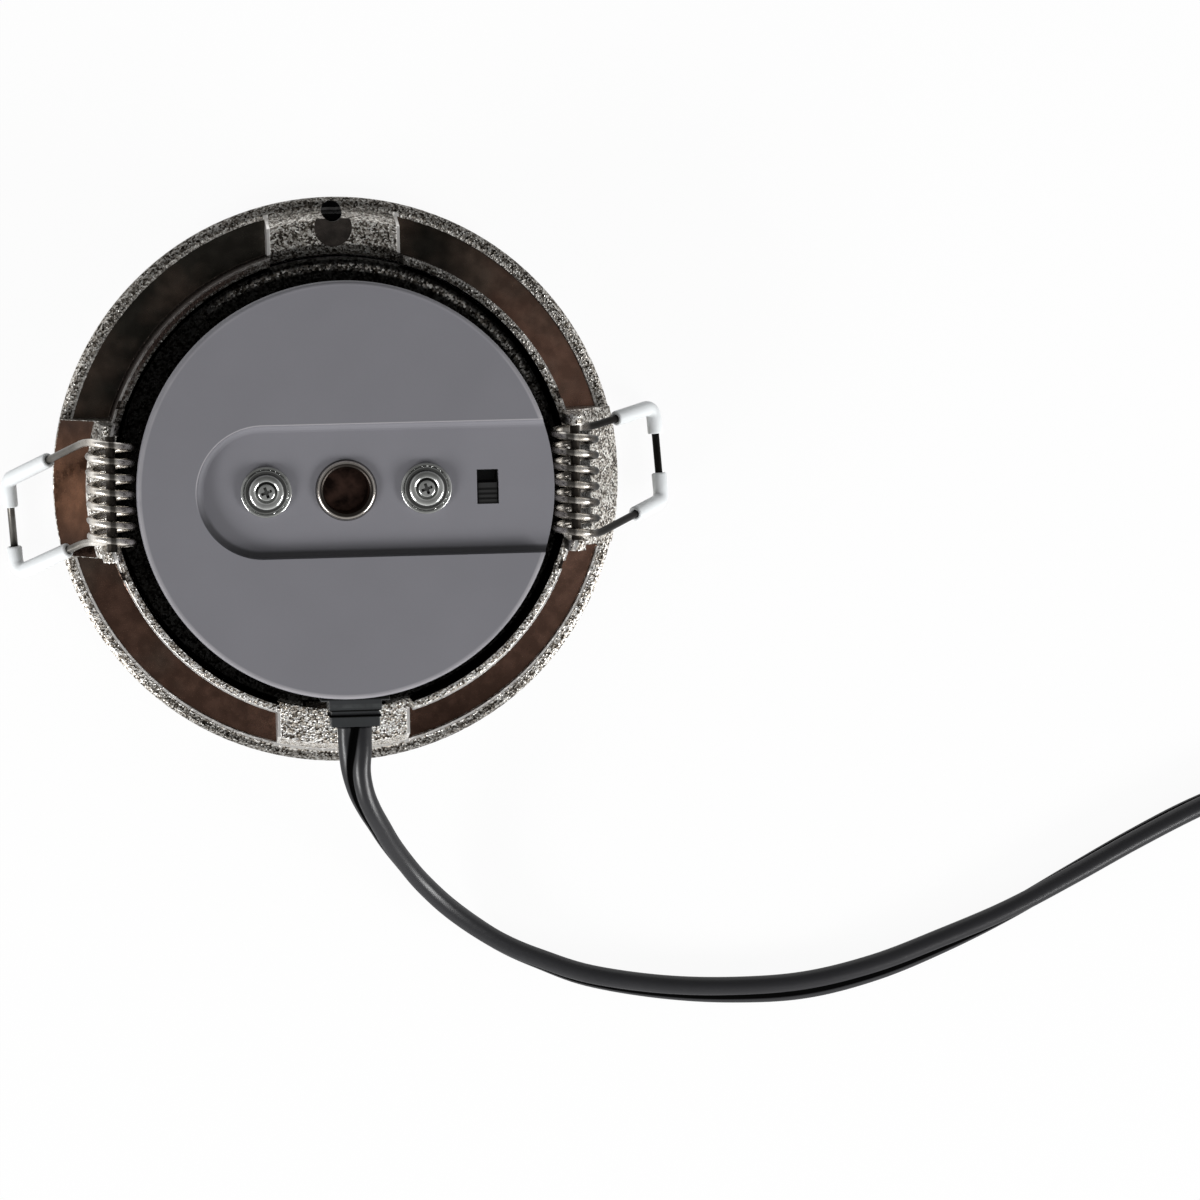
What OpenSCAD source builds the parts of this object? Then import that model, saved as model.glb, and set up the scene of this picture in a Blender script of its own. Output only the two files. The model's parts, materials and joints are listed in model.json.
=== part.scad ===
// Recessed tilting downlight, lying face down on its trim ring.
// The origin is on the ring's axis, in the plane of the ring's front face.
// The light shines along -Z, the spring clips lie along X and the cable leaves along -Y.

/* [Trim ring] */
// Outside diameter of the trim ring
ring_d = 90; // [88:0.5:98]
// Inside diameter of the collar
bore_d = 72.2; // [72:0.1:73]
// Thickness of the plate between the rim and the collar
plate_t = 2; // [1.5:0.1:3]
// Width of the raised rim
rim_w = 2; // [1.5:0.1:3]
// Height of the raised rim above the front face
rim_h = 3.4; // [3:0.1:4.5]
// Rounding of the outer front edge
edge_r = 1.4; // [0.5:0.1:2]
// Wall thickness of the collar
collar_t = 1.3; // [1.2:0.1:2.4]
// Height of the collar above the front face
collar_h = 15.5; // [14:0.25:16]
// Width of the two lands that cross the ring's groove
land_w = 21; // [16:0.5:24]
// Height of the lands above the front face
land_h = 8.5; // [6:0.25:8.5]
// Width of the lug under the cable
lug_w = 12; // [8:0.5:14]
// Reach of the lug inward from the collar
lug_reach = 1.3; // [0.5:0.1:1.5]
// Diameter of the round mark on the top land
mark_d = 6; // [4:0.5:7]
// Depth of the round mark
mark_deep = 0.5; // [0.2:0.1:1]
// Diameter of the blind hole beside the mark
mark_hole_d = 3.2; // [2:0.2:3.6]
// Depth of that blind hole
mark_hole_deep = 3; // [1:0.5:5]

/* [Spring clips] */
// Diameter of the spring wire
wire_d = 1.2; // [1:0.1:1.3]
// Outside diameter of the coil
coil_d = 7.8; // [7:0.1:8]
// Whole turns of the coil, to which a half turn is added
coil_turns = 6; // [4:1:6]
// Distance from one turn to the next
coil_pitch = 2.5; // [2.1:0.1:2.6]
// Distance of the coil's axis outside the collar's inner face
coil_out = 0.3; // [0.3:0.1:1]
// Height of the coil's axis above the collar's top
coil_lift = 5; // [5:0.25:7]
// Length of the bail from the coil's axis to its cross bar
bail_len = 23.8; // [20:0.2:24.4]
// Width of the bail between its legs
bail_w = 15; // [12:0.5:17]
// Offset between the two ends of the cross bar
bail_slant = 1.3; // [0:0.1:2]
// Lean of the left bail along the coil's axis
left_lean = 6.2; // [0:0.1:7]
// Lean of the right bail along the coil's axis
right_lean = 2.9; // [0:0.1:7]
// Angle of the bails below the horizontal at rest
rest_angle = 50.5; // [40:0.5:52]
// Bend radius at the bail's corners
bend_r = 1.6; // [1.5:0.1:3]
// Outside diameter of the sleeves on the bail's corners
sleeve_d = 2.4; // [2.2:0.1:3]
// Length of the left sleeves along their legs
left_sleeve = 12; // [6:0.5:12]
// Length of the right sleeves along their legs
right_sleeve = 9.5; // [6:0.5:12]
// Length of a sleeve along the cross bar
sleeve_bar = 4.4; // [4:0.1:5.5]
// Diameter of the pin that the coil turns on
axle_d = 1.6; // [1.2:0.1:2.2]
// Thickness of the ears that hold that pin
ear_t = 1.7; // [1.2:0.1:2.5]
// Width of an ear across the collar
ear_w = 2.8; // [2.2:0.1:2.8]

/* [Gimbal] */
// Height of the tilt axis above the front face
tilt_z = 8.5; // [8:0.1:9]
// Gap between the gimbal ring and the collar
gimbal_gap = 0.3; // [0.3:0.1:0.8]
// Height of the gimbal ring
gimbal_h = 5; // [4.5:0.1:5.5]
// Thickness of the gimbal ring's front flange
flange_t = 1.4; // [1.2:0.1:2]
// Diameter of the light opening in the flange
window_d = 53; // [44:1:53]
// Diameter of the pivot pins
pivot_d = 3; // [2:0.1:3.2]
// Length of the pivot pins
pivot_len = 6; // [4.5:0.25:6]

/* [Head] */
// Diameter of the head's body
head_d = 63.2; // [62:0.2:63.4]
// Diameter of the cover's rear lip
lip_d = 65.2; // [64:0.2:65.4]
// Height of the lip
lip_h = 3.3; // [2.5:0.1:3.5]
// Height of the heat sink
sink_h = 12; // [12:0.1:12.5]
// Height of the rear cover
cover_h = 9.1; // [9.1:0.1:10.5]
// Wall thickness of the heat sink and the cover
wall = 1.8; // [1.4:0.1:2]
// Thickness of the heat sink's plate
sink_plate_t = 2.4; // [2:0.1:2.6]
// Thickness of the cover's rear plate
cover_t = 1.9; // [1.5:0.1:2.5]
// Rounding of the cover's rear edge
cover_edge = 0.5; // [0.3:0.1:1]

/* [Rear recess] */
// Depth of the stadium recess in the cover
recess_deep = 2; // [1.5:0.1:2.2]
// Radius of the round between the recess's floor and its wall
recess_round = 1.2; // [0.5:0.1:2]
// Thickness of the recess floor
floor_t = 1.6; // [1.2:0.1:1.8]
// Radius of the recess's round end
recess_r = 10.4; // [9:0.2:11]
// Distance of the round end's centre left of the head's axis
recess_x = 13; // [11:0.5:15]
// Distance of the cover screws from the head's axis
screw_x = 12.5; // [11:0.25:14]
// Diameter of the cover screws' shanks
screw_d = 2.9; // [2:0.1:3]
// Diameter of the cover screws' heads
screw_head_d = 5.3; // [4:0.1:5.6]
// Diameter of the washers under them
washer_d = 8; // [7:0.1:9]
// Thickness of those washers
washer_t = 0.5; // [0.4:0.1:0.8]
// Outside diameter of the centre bush's rim
bush_d = 9.3; // [8:0.1:10]
// Bore of the centre bush
bush_bore = 7.1; // [5:0.1:7.4]
// Depth of that bore
bush_deep = 6; // [4:0.5:6]
// Height of the bush's rim above the recess floor
bush_rim_h = 0.9; // [0.5:0.1:1.5]

/* [Switch] */
// Distance of the switch from the head's axis
switch_x = 22.15; // [21.5:0.25:23]
// Width of the switch's window
window_w = 3.4; // [3:0.1:4]
// Length of the switch's knob
knob_len = 3.2; // [2.5:0.1:4]
// Travel of the switch's knob
knob_travel = 2; // [1.5:0.1:3]
// Height of the switch's body
switch_h = 5; // [4:0.1:5.4]

/* [Light engine] */
// Thickness of the diffuser
diffuser_t = 1.5; // [1:0.1:2]
// Height of the reflector
reflector_h = 3.3; // [2.5:0.1:3.5]
// Diameter of the reflector's inner edge
reflector_d = 40; // [38:1:44]
// Thickness of the LED board
led_board_t = 1.1; // [0.8:0.1:1.6]
// Thickness of the thermal pad
pad_t = 0.3; // [0.2:0.1:0.6]
// Chips in the outer circle
outer_chips = 12; // [8:1:16]
// Chips in the inner circle
inner_chips = 6; // [4:1:8]
// Thickness of the insulating sheet
sheet_t = 0.4; // [0.3:0.1:0.6]
// Height of the posts under the driver board
post_h = 1.8; // [1.2:0.1:2]
// Thickness of the driver board
driver_t = 1.2; // [1:0.1:1.6]

/* [Cable] */
// Width of the flat cable
cable_w = 5.4; // [4.4:0.1:5.8]
// Thickness of the flat cable
cable_t = 3; // [2.6:0.1:3.4]
// Diameter of the cable's insulated cores
core_d = 2; // [1.6:0.1:2.2]
// Height of the cable gland
gland_h = 5.6; // [5:0.1:5.6]
// Width of the gland's block
gland_w = 8.3; // [7.5:0.1:9]
// Distance of the gland right of the head's axis
gland_x = 0.8; // [-1:0.1:1]
// Distance of the gland's nose from the head's axis
gland_reach = 37.3; // [36:0.1:38]
// Length of the ferrules on the cores
ferrule_len = 7; // [5:0.5:9]

/* [Hidden] */
$fn = 96;
eps = 0.01;
fit = 0.05;
press = 0.02;
far = 60;

// Radii and heights of the trim ring
ring_r = ring_d / 2;
bore_r = bore_d / 2;
collar_r = bore_r + collar_t;
rim_in = ring_r - rim_w;
front_chamfer = 0.6;
rim_chamfer = 0.6;
land_slope = 1.4;
lug_y = bore_r - lug_reach;
mark_y = 40.3;
mark_hole_y = 42.8;

// Places of the coils, their pins and their ears
wire_r = wire_d / 2;
coil_r = (coil_d - wire_d) / 2;
coil_x = bore_r + coil_out;
coil_z = collar_h + coil_lift;
coil_half = (coil_turns + 0.5) * coil_pitch / 2;
coil_bore_r = coil_r - wire_r;
axle_gap = 0.5;
axle_z = coil_z + coil_bore_r - axle_d / 2 - axle_gap;
ear_gap = 0.3;
ear_y = coil_half + wire_r + ear_gap;
ear_top = axle_z + ear_w / 2;
ear_out = ear_y + ear_t;
seat_margin = 0.1;
notch_away = 2.1;
notch_w = 1.3;
notch_deep = 1.5;
seat_half = ear_out + seat_margin;
cut_half = seat_half + seat_margin;
seat_gap = 0.4;
seat_drop = coil_r + wire_r + seat_gap;
over_knee = 2;
under_knee = 8.5;
bail_dir = [cos(rest_angle), 0, -sin(rest_angle)];
bail_side = [sin(rest_angle), 0, cos(rest_angle)];
butt_gap = 1.7;
curl_rings = 8;
bend_rings = 3;
wire_sides = 6;
sleeve_bore = wire_d + 0.16;

// Heights in the gimbal ring and the head
gimbal_r = bore_r - gimbal_gap;
gimbal_z = tilt_z - gimbal_h / 2;
gimbal_top = tilt_z + gimbal_h / 2;
seat_z = gimbal_z + flange_t;
head_r = head_d / 2;
head_in = head_r - wall;
lip_r = lip_d / 2;
cup_gap = 0.1;
gimbal_chamfer = 0.5;
lug_gap = 0.6;
pivot_x = head_r + 0.7;
split_z = seat_z + sink_h;
rear_z = split_z + cover_h;
lip_z = rear_z - lip_h;
recess_z = rear_z - recess_deep;
floor_z = recess_z - floor_t;
sink_z = seat_z + diffuser_t + reflector_h + led_board_t + pad_t;
deck_z = sink_z + sink_plate_t;

// The stack of the light engine, from the flange upward
ring_screw_boss = 2;
ring_screw_r = head_r - ring_screw_boss;
optic_gap = 0.4;
optic_r = ring_screw_r - ring_screw_boss - optic_gap;
diffuser_r = optic_r + 0.2;
diffuser_top = seat_z + diffuser_t;
reflector_top = diffuser_top + reflector_h;
led_board_top = reflector_top + led_board_t;
reflector_lip = 0.6;
reflector_foot = 1;
chip_w = 2.8;
chip_l = 3.5;
chip_h = 0.7;
outer_chip_r = 15.5;
inner_chip_r = 8;

// Screws of the gimbal ring, the LED board and the driver board
ring_screw_head = 1.7;
ring_screw_shank = 0.9;
ring_screw_cone = 1.2;
ring_screw_len = 6.3;
ring_screw_angles = [90, 210, 330];
led_screw_r = 22;
led_screw_head = 2;
led_screw_shank = 1;
led_screw_len = 3.2;
driver_post_r = 24;
driver_post = 2;
driver_screw_head = 1.9;
driver_screw_h = 1.2;
driver_screw_shank = 0.95;
driver_post_angles = [20, 140, 260];
slot_w = 0.6;
slot_deep = 0.7;

// The driver board and what stands on it
driver_z = deck_z + post_h;
board_top = driver_z + driver_t;
driver_r = head_in - 1;
sheet_r = head_in - 0.4;
boss_r = 3;
boss_gap = 0.3;
connector = [5, 2.5];
connector_y = 13;
capacitor_d = 6.3;
capacitor_len = 11;
capacitor_at = [-4.5, 18];
inductor_d = 8;
inductor_h = 6.2;
inductor_at = [9.5, 17.5];
rectifier_size = [6, 4.5, 2.6];
rectifier_at = [-19.5, -3];
chip_size = [5, 4, 1.6];
chip_at = [10, -13];
varistor_d = 7;
varistor_h = 3.2;
varistor_at = [-15, -15];
fuse_d = 2.6;
fuse_len = 8;
fuse_at = [-4, -15.5];

// The slide switch
switch_w = 4.6;
switch_len = 9.2;
knob_w = window_w - 0.4;
knob_gap = 0.1;
window_len = knob_len + knob_travel + 2 * knob_gap;
knob_y = knob_gap - window_len / 2;
knob_deep = 2.8;
knob_top = recess_z - 0.3;
rib_w = 0.35;
rib_pitch = 0.75;

// The centre bush
bush_r = bush_d / 2;
bush_body_r = bush_r - 0.35;
bush_end = 1;
boss_z = floor_z;
washer_rim = 0.25;
screw_head_h = 1.4;
screw_len = 8;

// The gland, from the inside of the wall outward
gland_z = split_z + gland_h / 2 + fit;
gland_in = head_in - 0.8;
gland_in_t = 1;
gland_neck = gland_w - 1.3;
gland_flange_w = gland_w + 2.5;
gland_flange_y = head_r + 0.4;
gland_flange_t = 1.2;
gland_nose = 1.5;
gland_rim_t = 0.4;
gland_groove_w = 0.7;
gland_groove_t = 0.35;
gland_nose_w = gland_w - 0.6;
gland_nose_h = gland_h - 0.6;
notch_gap = 0.1;

// Route of the cable's centre line, from inside the head to its far end
cable_route = [
    [0.8, -27.5, 22.3], [0.8, -32, 22.3], [0.8, -37.3, 22.3], [0.8, -41, 22.2],
    [0.9, -44.5, 21.5], [1.7, -48, 20.3], [3, -51, 18.6], [4.7, -54, 16.2],
    [6.6, -57.2, 13.4], [9, -60.6, 10.4], [12, -64.4, 7.6], [16, -68.5, 5.4],
    [20.6, -72.2, 4], [25.5, -75.4, 3.2], [31, -78, 2.8], [39, -81, 2.7],
    [50.6, -83.2, 2.7], [62.3, -84.1, 2.6], [74, -83.7, 2.6], [85.5, -81.2, 2.6],
    [96.5, -77.2, 2.6], [107.2, -72.6, 2.7], [117.6, -67.2, 2.8], [127.8, -61.8, 2.8],
    [138, -56.9, 2.8], [148.5, -52.9, 2.8], [159.5, -50.6, 2.5], [170.5, -50.6, 2],
    [181.5, -53.2, 1.6], [191.5, -58.2, 1.6], [200, -65.5, 1.6], [206.5, -74.5, 1.6],
    [210.5, -85, 1.6], [212, -96, 1.6],
];
// Turn of the flat section at each of those points, from lying flat
cable_turn = [
    0, 0, 0, 25,
    50, 64, 73, 79,
    84, 88, 90, 90,
    88, 84, 79, 70,
    62, 52, 45, 48,
    56, 74, 86, 90,
    90, 76, 44, 16,
    0, 0, 0, 0,
    0, 0,
];
cable_end = cable_route[len(cable_route) - 1];
cable_sides = 12;
core_sides = 8;
core_side = (cable_w - cable_t) / 2;
ferrule_d = 1.5;
ferrule_lap = 1.5;
// Steps of the cores beyond the cable's end: away from it, and to each side
core_steps = [[0, 0], [-6, 0.3], [-12, 1.4], [-18, 2.6], [-24, 3.6]];
// Steps of the leads inside the head: toward the head's axis, to each side, and height over the board
lead_steps = [[0, 0, 3.3], [1.8, 0.1, 3.1], [3.6, 0.3, 2.2], [4.5, 0.5, 1.2], [4.5, 0.5, 0.05]];

// A unit vector along v
function unit(v) = v / norm(v);

// Direction of a route at one of its points
function heading(points, i) =
    unit(points[min(i + 1, len(points) - 1)] - points[max(i - 1, 0)]);

// Part of v that is square to the unit vector t
function square_to(v, t) = unit(v - (v * t) * t);

// Side directions carried along a route without twist
function side_dirs(points, first) = [
    for (i = 0, side = square_to(first, heading(points, 0));
        i < len(points);
        i = i + 1, side = i < len(points) ? square_to(side, heading(points, i)) : side)
        side
];

// Level side directions along a route that never stands upright
function level_dirs(points) = [
    for (i = [0:len(points) - 1]) unit(cross(heading(points, i), [0, 0, 1]))
];

// Points of a round section
function round_section(r, sides) = [for (j = [0:sides - 1]) r * [cos(360 * j / sides), sin(360 * j / sides)]];

// Points of a flat section with round ends, w wide and t thick
function flat_section(w, t, sides) = [
    for (j = [0:sides - 1])
        let (a = 360 * (j + 0.5) / sides)
        t / 2 * [cos(a), sin(a)] + [sign(cos(a)) * (w - t) / 2, 0]
];

// One closed tube whose section follows a route
module sweep(points, sides_along, section, turns = []) {
    n = len(section);
    last = len(points) - 1;
    rings = [
        for (i = [0:last])
            let (t = heading(points, i), s = sides_along[i], u = cross(t, s), a = len(turns) > 0 ? turns[i] : 0)
            for (q = section)
                points[i] + (q[0] * cos(a) - q[1] * sin(a)) * s + (q[0] * sin(a) + q[1] * cos(a)) * u
    ];
    faces = [
        for (j = [1:n - 2]) [0, j, j + 1],
        for (i = [0:last - 1], j = [0:n - 1])
            [i * n + j, (i + 1) * n + j, i * n + (j + 1) % n],
        for (i = [0:last - 1], j = [0:n - 1])
            [i * n + (j + 1) % n, (i + 1) * n + j, (i + 1) * n + (j + 1) % n],
        for (j = [1:n - 2]) [last * n, last * n + j + 1, last * n + j],
    ];
    polyhedron(rings, faces, convexity = 10);
}

// A round tube along a route
module round_tube(points, r, sides, first) {
    sweep(points, side_dirs(points, first), round_section(r, sides));
}

// Copies of what follows, turned to each angle and moved out to radius r
module around(r, angles) {
    for (a = angles) rotate(a) translate([r, 0, 0]) children();
}

// A box with its centre at x and y and its foot at z
module block(size, at, z) {
    translate([at[0] - size[0] / 2, at[1] - size[1] / 2, z]) cube(size);
}

// A shaft along Y from y1 to y2
module shaft_y(r, x, z, y1, y2) {
    translate([x, y1, z]) rotate([-90, 0, 0]) cylinder(h = y2 - y1, r = r);
}

// A shaft along X from x1 to x2
module shaft_x(r, z, x1, x2) {
    translate([x1, 0, z]) rotate([0, 90, 0]) cylinder(h = x2 - x1, r = r);
}

// The two sides of the ring that carry the clips
module both_sides() {
    children();
    rotate(180) children();
}

// Section of the plate, rim and collar
module ring_profile() {
    polygon([
        [bore_r, front_chamfer],
        [bore_r + front_chamfer, 0],
        for (a = [-90:15:0]) [ring_r - edge_r + edge_r * cos(a), edge_r + edge_r * sin(a)],
        [ring_r, rim_h - rim_chamfer],
        [ring_r - rim_chamfer, rim_h],
        [rim_in, rim_h],
        [rim_in, plate_t],
        [collar_r, plate_t],
        [collar_r, collar_h],
        [bore_r, collar_h],
    ]);
}

// Section of the lands, which slope down to the rim
module land_profile() {
    polygon([
        [bore_r, plate_t / 2],
        [bore_r, land_h],
        [rim_in - land_slope, land_h],
        [rim_in + eps, rim_h],
        [rim_in + eps, plate_t / 2],
    ]);
}

// One land at the top and one at the bottom of the ring
module lands() {
    intersection() {
        rotate_extrude() land_profile();
        block([land_w, 2 * far, far], [0, 0], 0);
    }
}

// Space above the slope that a bail lies on, right side
module seat_cut() {
    translate([coil_x, 0, coil_z])
        rotate([0, rest_angle, 0])
            translate([-far / 2, -cut_half, -seat_drop])
                cube([far * 1.5, 2 * cut_half, far]);
}

// Notches in the collar's top on both sides of the right coil's ears
module collar_notches() {
    for (side = [-1, 1])
        translate([coil_x - 2 * ear_w, side * (ear_out + notch_away + notch_w / 2) - notch_w / 2, collar_h - notch_deep])
            cube([4 * ear_w, notch_w, far]);
}

// Solid under that slope, right side, out to the ring's edge
module seat_body() {
    intersection() {
        translate([bore_r - wall, -seat_half, 0]) cube([far, 2 * seat_half, collar_h]);
        rotate_extrude()
            polygon([
                [bore_r, plate_t / 2],
                [rim_in, plate_t / 2],
                [rim_in, edge_r],
                [ring_r, edge_r],
                [ring_r, collar_h],
                [bore_r, collar_h],
            ]);
    }
}

// One ear with a round top, on the +Y end of the right coil
module ear() {
    translate([coil_x - ear_w / 2, ear_y, land_h]) cube([ear_w, ear_t, axle_z - land_h]);
    shaft_y(ear_w / 2, coil_x, axle_z, ear_y, ear_out);
}

module trim_ring() {
    color([0.66, 0.63, 0.58])
        difference() {
            union() {
                difference() {
                    union() {
                        rotate_extrude() ring_profile();
                        both_sides() seat_body();
                        lands();
                        translate([-lug_w / 2, -collar_r, front_chamfer])
                            cube([lug_w, collar_r - lug_y, land_h - front_chamfer]);
                    }
                    // The collar is no higher than the lands where it crosses them
                    block([land_w, 2 * far, far], [0, 0], land_h);
                    both_sides() seat_cut();
                    both_sides() collar_notches();
                }
                both_sides() {
                    ear();
                    mirror([0, 1, 0]) ear();
                }
            }
            both_sides() shaft_y(axle_d / 2 + press, coil_x, axle_z, -far / 2, far / 2);
            both_sides() shaft_x(pivot_d / 2 + press, tilt_z, bore_r - wall, pivot_x + pivot_len);
            translate([0, mark_y, land_h - mark_deep]) cylinder(h = far, d = mark_d);
            translate([0, mark_hole_y, land_h - mark_hole_deep]) cylinder(h = far, d = mark_hole_d);
        }
}

module pivot_pins() {
    color([0.7, 0.7, 0.7])
        both_sides() shaft_x(pivot_d / 2, tilt_z, pivot_x, pivot_x + pivot_len);
}

// The pin through the right coil
module axle() {
    color([0.16, 0.14, 0.13])
        shaft_y(axle_d / 2, coil_x, axle_z, -ear_out, ear_out);
}

module axle_left() {
    rotate(180) axle();
}

module axle_right() {
    axle();
}

// Corners of the right bail: side -1 is the leg off the coil's top, side 1 the other
function bail_corner(lean, side) =
    [coil_x, lean + side * bail_w / 2, coil_z] + bail_len * bail_dir - side * bail_slant / 2 * bail_side;

// Angle round the coil where a leg leaves it, measured from outward through up
function leave_angle(lean, side) =
    let (c = bail_corner(lean, side) - [coil_x, 0, coil_z], d = norm([c[0], c[2]]))
    atan2(c[2], c[0]) - side * acos(coil_r / d);

// Place on the coil at an angle and a distance along its axis
function on_coil(a, y) = [coil_x + coil_r * cos(a), y, coil_z + coil_r * sin(a)];

// Where the leg bends sideways, beyond the coil
function bail_knee(lean, side) =
    let (
        from = on_coil(leave_angle(lean, side), side * coil_half),
        to = bail_corner(lean, side),
        along = unit([to[0] - from[0], 0, to[2] - from[2]])
    )
    from + (side < 0 ? over_knee : under_knee) * along;

// Points of a bend at corner c, between the points a and b
function bend(a, c, b) =
    let (
        u = unit(a - c),
        v = unit(b - c),
        half = acos(u * v) / 2,
        reach = bend_r / tan(half),
        middle = c + bend_r / sin(half) * unit(u + v),
        sweep_a = 90 - half,
        w = unit(u + v),
        p = square_to(u, w)
    )
    [
        for (i = [0:bend_rings])
            let (s = sweep_a * (1 - 2 * i / bend_rings))
            middle + bend_r * (sin(s) * p - cos(s) * w)
    ];

// Bend at one corner, from the leg to the cross bar
function corner_points(lean, side) =
    bend(bail_knee(lean, side), bail_corner(lean, side), bail_corner(lean, -side));

// Reverse of a list
function reversed(list) = [for (i = [len(list) - 1:-1:0]) list[i]];

// The coil's centre line from the first leg round to the second
function coil_points(lean) =
    let (
        first = leave_angle(lean, -1),
        last = leave_angle(lean, 1) + 360 * (coil_turns + 1),
        steps = ceil((last - first) / 360 * curl_rings)
    )
    [
        for (i = [0:steps])
            on_coil(first + (last - first) * i / steps, coil_half * (2 * i / steps - 1))
    ];

// The wire: cross bar, first leg, coil and second leg, with its two ends inside the back sleeve
function wire_points(lean) =
    let (
        back = bail_corner(lean, 1),
        bar = unit(bail_corner(lean, -1) - back),
        back_bend = corner_points(lean, 1),
        start = back_bend[bend_rings] + butt_gap * bar
    )
    concat(
        [start],
        reversed(corner_points(lean, -1)),
        [bail_knee(lean, -1)],
        coil_points(lean),
        [bail_knee(lean, 1)],
        back_bend
    );

// Least distance between parts of the wire that lie at least half a curl apart, less its diameter
function least_gap(points) =
    min([
        for (i = [0:len(points) - 1], j = [0:len(points) - 1])
            if (j - i >= curl_rings / 2)
                norm(points[i] - points[j])
    ]) - wire_d;

module spring(lean) {
    points = wire_points(lean);
    color([0.64, 0.62, 0.57])
        round_tube(points, wire_r, wire_sides, bail_side);
}

// The sleeve on one corner of the right bail, with its length along the leg
module sleeve(lean, side, sleeve_leg) {
    leg = bail_knee(lean, side);
    corner = bail_corner(lean, side);
    other = bail_corner(lean, -side);
    turn = corner_points(lean, side);
    leg_dir = unit(leg - corner);
    bar_dir = unit(other - corner);
    leg_end = corner + sleeve_leg * leg_dir;
    bar_end = corner + sleeve_bar * bar_dir;
    color([0.93, 0.93, 0.92])
        difference() {
            round_tube(concat([leg_end], turn, [bar_end]), sleeve_d / 2, 10, bail_side);
            round_tube(
                concat([leg_end + leg_dir], turn, [bar_end + bar_dir]), sleeve_bore / 2, 12, bail_side
            );
        }
}

module spring_left() {
    rotate(180) spring(left_lean);
}

module spring_right() {
    spring(right_lean);
}

module sleeve_left_front() {
    rotate(180) sleeve(left_lean, 1, left_sleeve);
}

module sleeve_left_back() {
    rotate(180) sleeve(left_lean, -1, left_sleeve);
}

module sleeve_right_front() {
    sleeve(right_lean, -1, right_sleeve);
}

module sleeve_right_back() {
    sleeve(right_lean, 1, right_sleeve);
}

echo(least_gap_left = least_gap(wire_points(left_lean)));
echo(least_gap_right = least_gap(wire_points(right_lean)));

// A countersunk screw that points up, with its head's face at z = 0
module flat_screw(head, cone, shank, length, gap = 0) {
    difference() {
        union() {
            cylinder(h = cone, r1 = head + gap, r2 = shank + gap);
            cylinder(h = length + gap, r = shank + gap);
        }
        if (gap == 0)
            translate([0, 0, -eps]) {
                block([1.2 * head, slot_w, slot_deep], [0, 0], 0);
                block([slot_w, 1.2 * head, slot_deep], [0, 0], 0);
            }
    }
}

// A pan-head screw that points down, with the underside of its head at z = 0
module pan_screw(head, h, shank, length) {
    difference() {
        union() {
            cylinder(h = h * 0.6, r = head);
            translate([0, 0, h * 0.6]) cylinder(h = h * 0.4, r1 = head, r2 = head * 0.75);
            translate([0, 0, -length]) cylinder(h = length + eps, r = shank);
        }
        translate([0, 0, h - slot_deep]) {
            block([1.1 * head, slot_w, h], [0, 0], 0);
            block([slot_w, 1.1 * head, h], [0, 0], 0);
        }
    }
}

module ring_screw(gap = 0) {
    flat_screw(ring_screw_head, ring_screw_cone, ring_screw_shank, ring_screw_len, gap);
}

module gimbal_ring() {
    color([0.14, 0.12, 0.1])
        difference() {
            rotate_extrude()
                polygon([
                    [window_d / 2, gimbal_z],
                    [gimbal_r - gimbal_chamfer, gimbal_z],
                    [gimbal_r, gimbal_z + gimbal_chamfer],
                    [gimbal_r, gimbal_top - gimbal_chamfer],
                    [gimbal_r - gimbal_chamfer, gimbal_top],
                    [head_r + cup_gap, gimbal_top],
                    [head_r + cup_gap, seat_z],
                    [window_d / 2, seat_z],
                ]);
            both_sides() shaft_x(pivot_d / 2 + fit, tilt_z, head_r - wall, far);
            // Notch that clears the lug
            translate([-lug_w / 2 - lug_gap, -far, gimbal_z - eps])
                cube([lug_w + 2 * lug_gap, far - lug_y + lug_gap, far]);
            translate([0, 0, gimbal_z]) around(ring_screw_r, ring_screw_angles) ring_screw(fit);
        }
}

module gimbal_screws() {
    color([0.75, 0.75, 0.74])
        translate([0, 0, gimbal_z]) around(ring_screw_r, ring_screw_angles) ring_screw();
}

module heat_sink() {
    color([0.24, 0.22, 0.19])
        difference() {
            union() {
                difference() {
                    translate([0, 0, seat_z]) cylinder(h = sink_h, r = head_r);
                    translate([0, 0, seat_z - eps]) cylinder(h = sink_h + 2 * eps, r = head_in);
                }
                translate([0, 0, sink_z]) cylinder(h = sink_plate_t, r = head_in + eps);
                translate([0, 0, seat_z])
                    around(ring_screw_r, ring_screw_angles)
                        cylinder(h = sink_z - seat_z + eps, r = ring_screw_boss);
                translate([0, 0, deck_z - eps]) {
                    around(screw_x, [0, 180]) cylinder(h = boss_z - deck_z + eps, r = boss_r);
                    around(driver_post_r, driver_post_angles) cylinder(h = post_h + eps, r = driver_post);
                }
            }
            translate([0, 0, gimbal_z]) around(ring_screw_r, ring_screw_angles) ring_screw(fit);
            around(screw_x, [0, 180])
                translate([0, 0, recess_z + washer_t - screw_len - fit]) cylinder(h = far, d = screw_d + 2 * fit);
            around(driver_post_r, driver_post_angles)
                translate([0, 0, driver_z - post_h]) cylinder(h = far, r = driver_screw_shank + fit);
            translate([0, 0, reflector_top])
                around(led_screw_r, ring_screw_angles)
                    flat_screw(led_screw_head, led_board_t, led_screw_shank, led_screw_len, fit);
            block([connector[0] + 2 * boss_gap, connector[1] + 2 * boss_gap, far], [0, connector_y], sink_z - eps);
        }
}

module diffuser() {
    color([0.93, 0.93, 0.9])
        translate([0, 0, seat_z]) cylinder(h = diffuser_t, r = diffuser_r);
}

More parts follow.
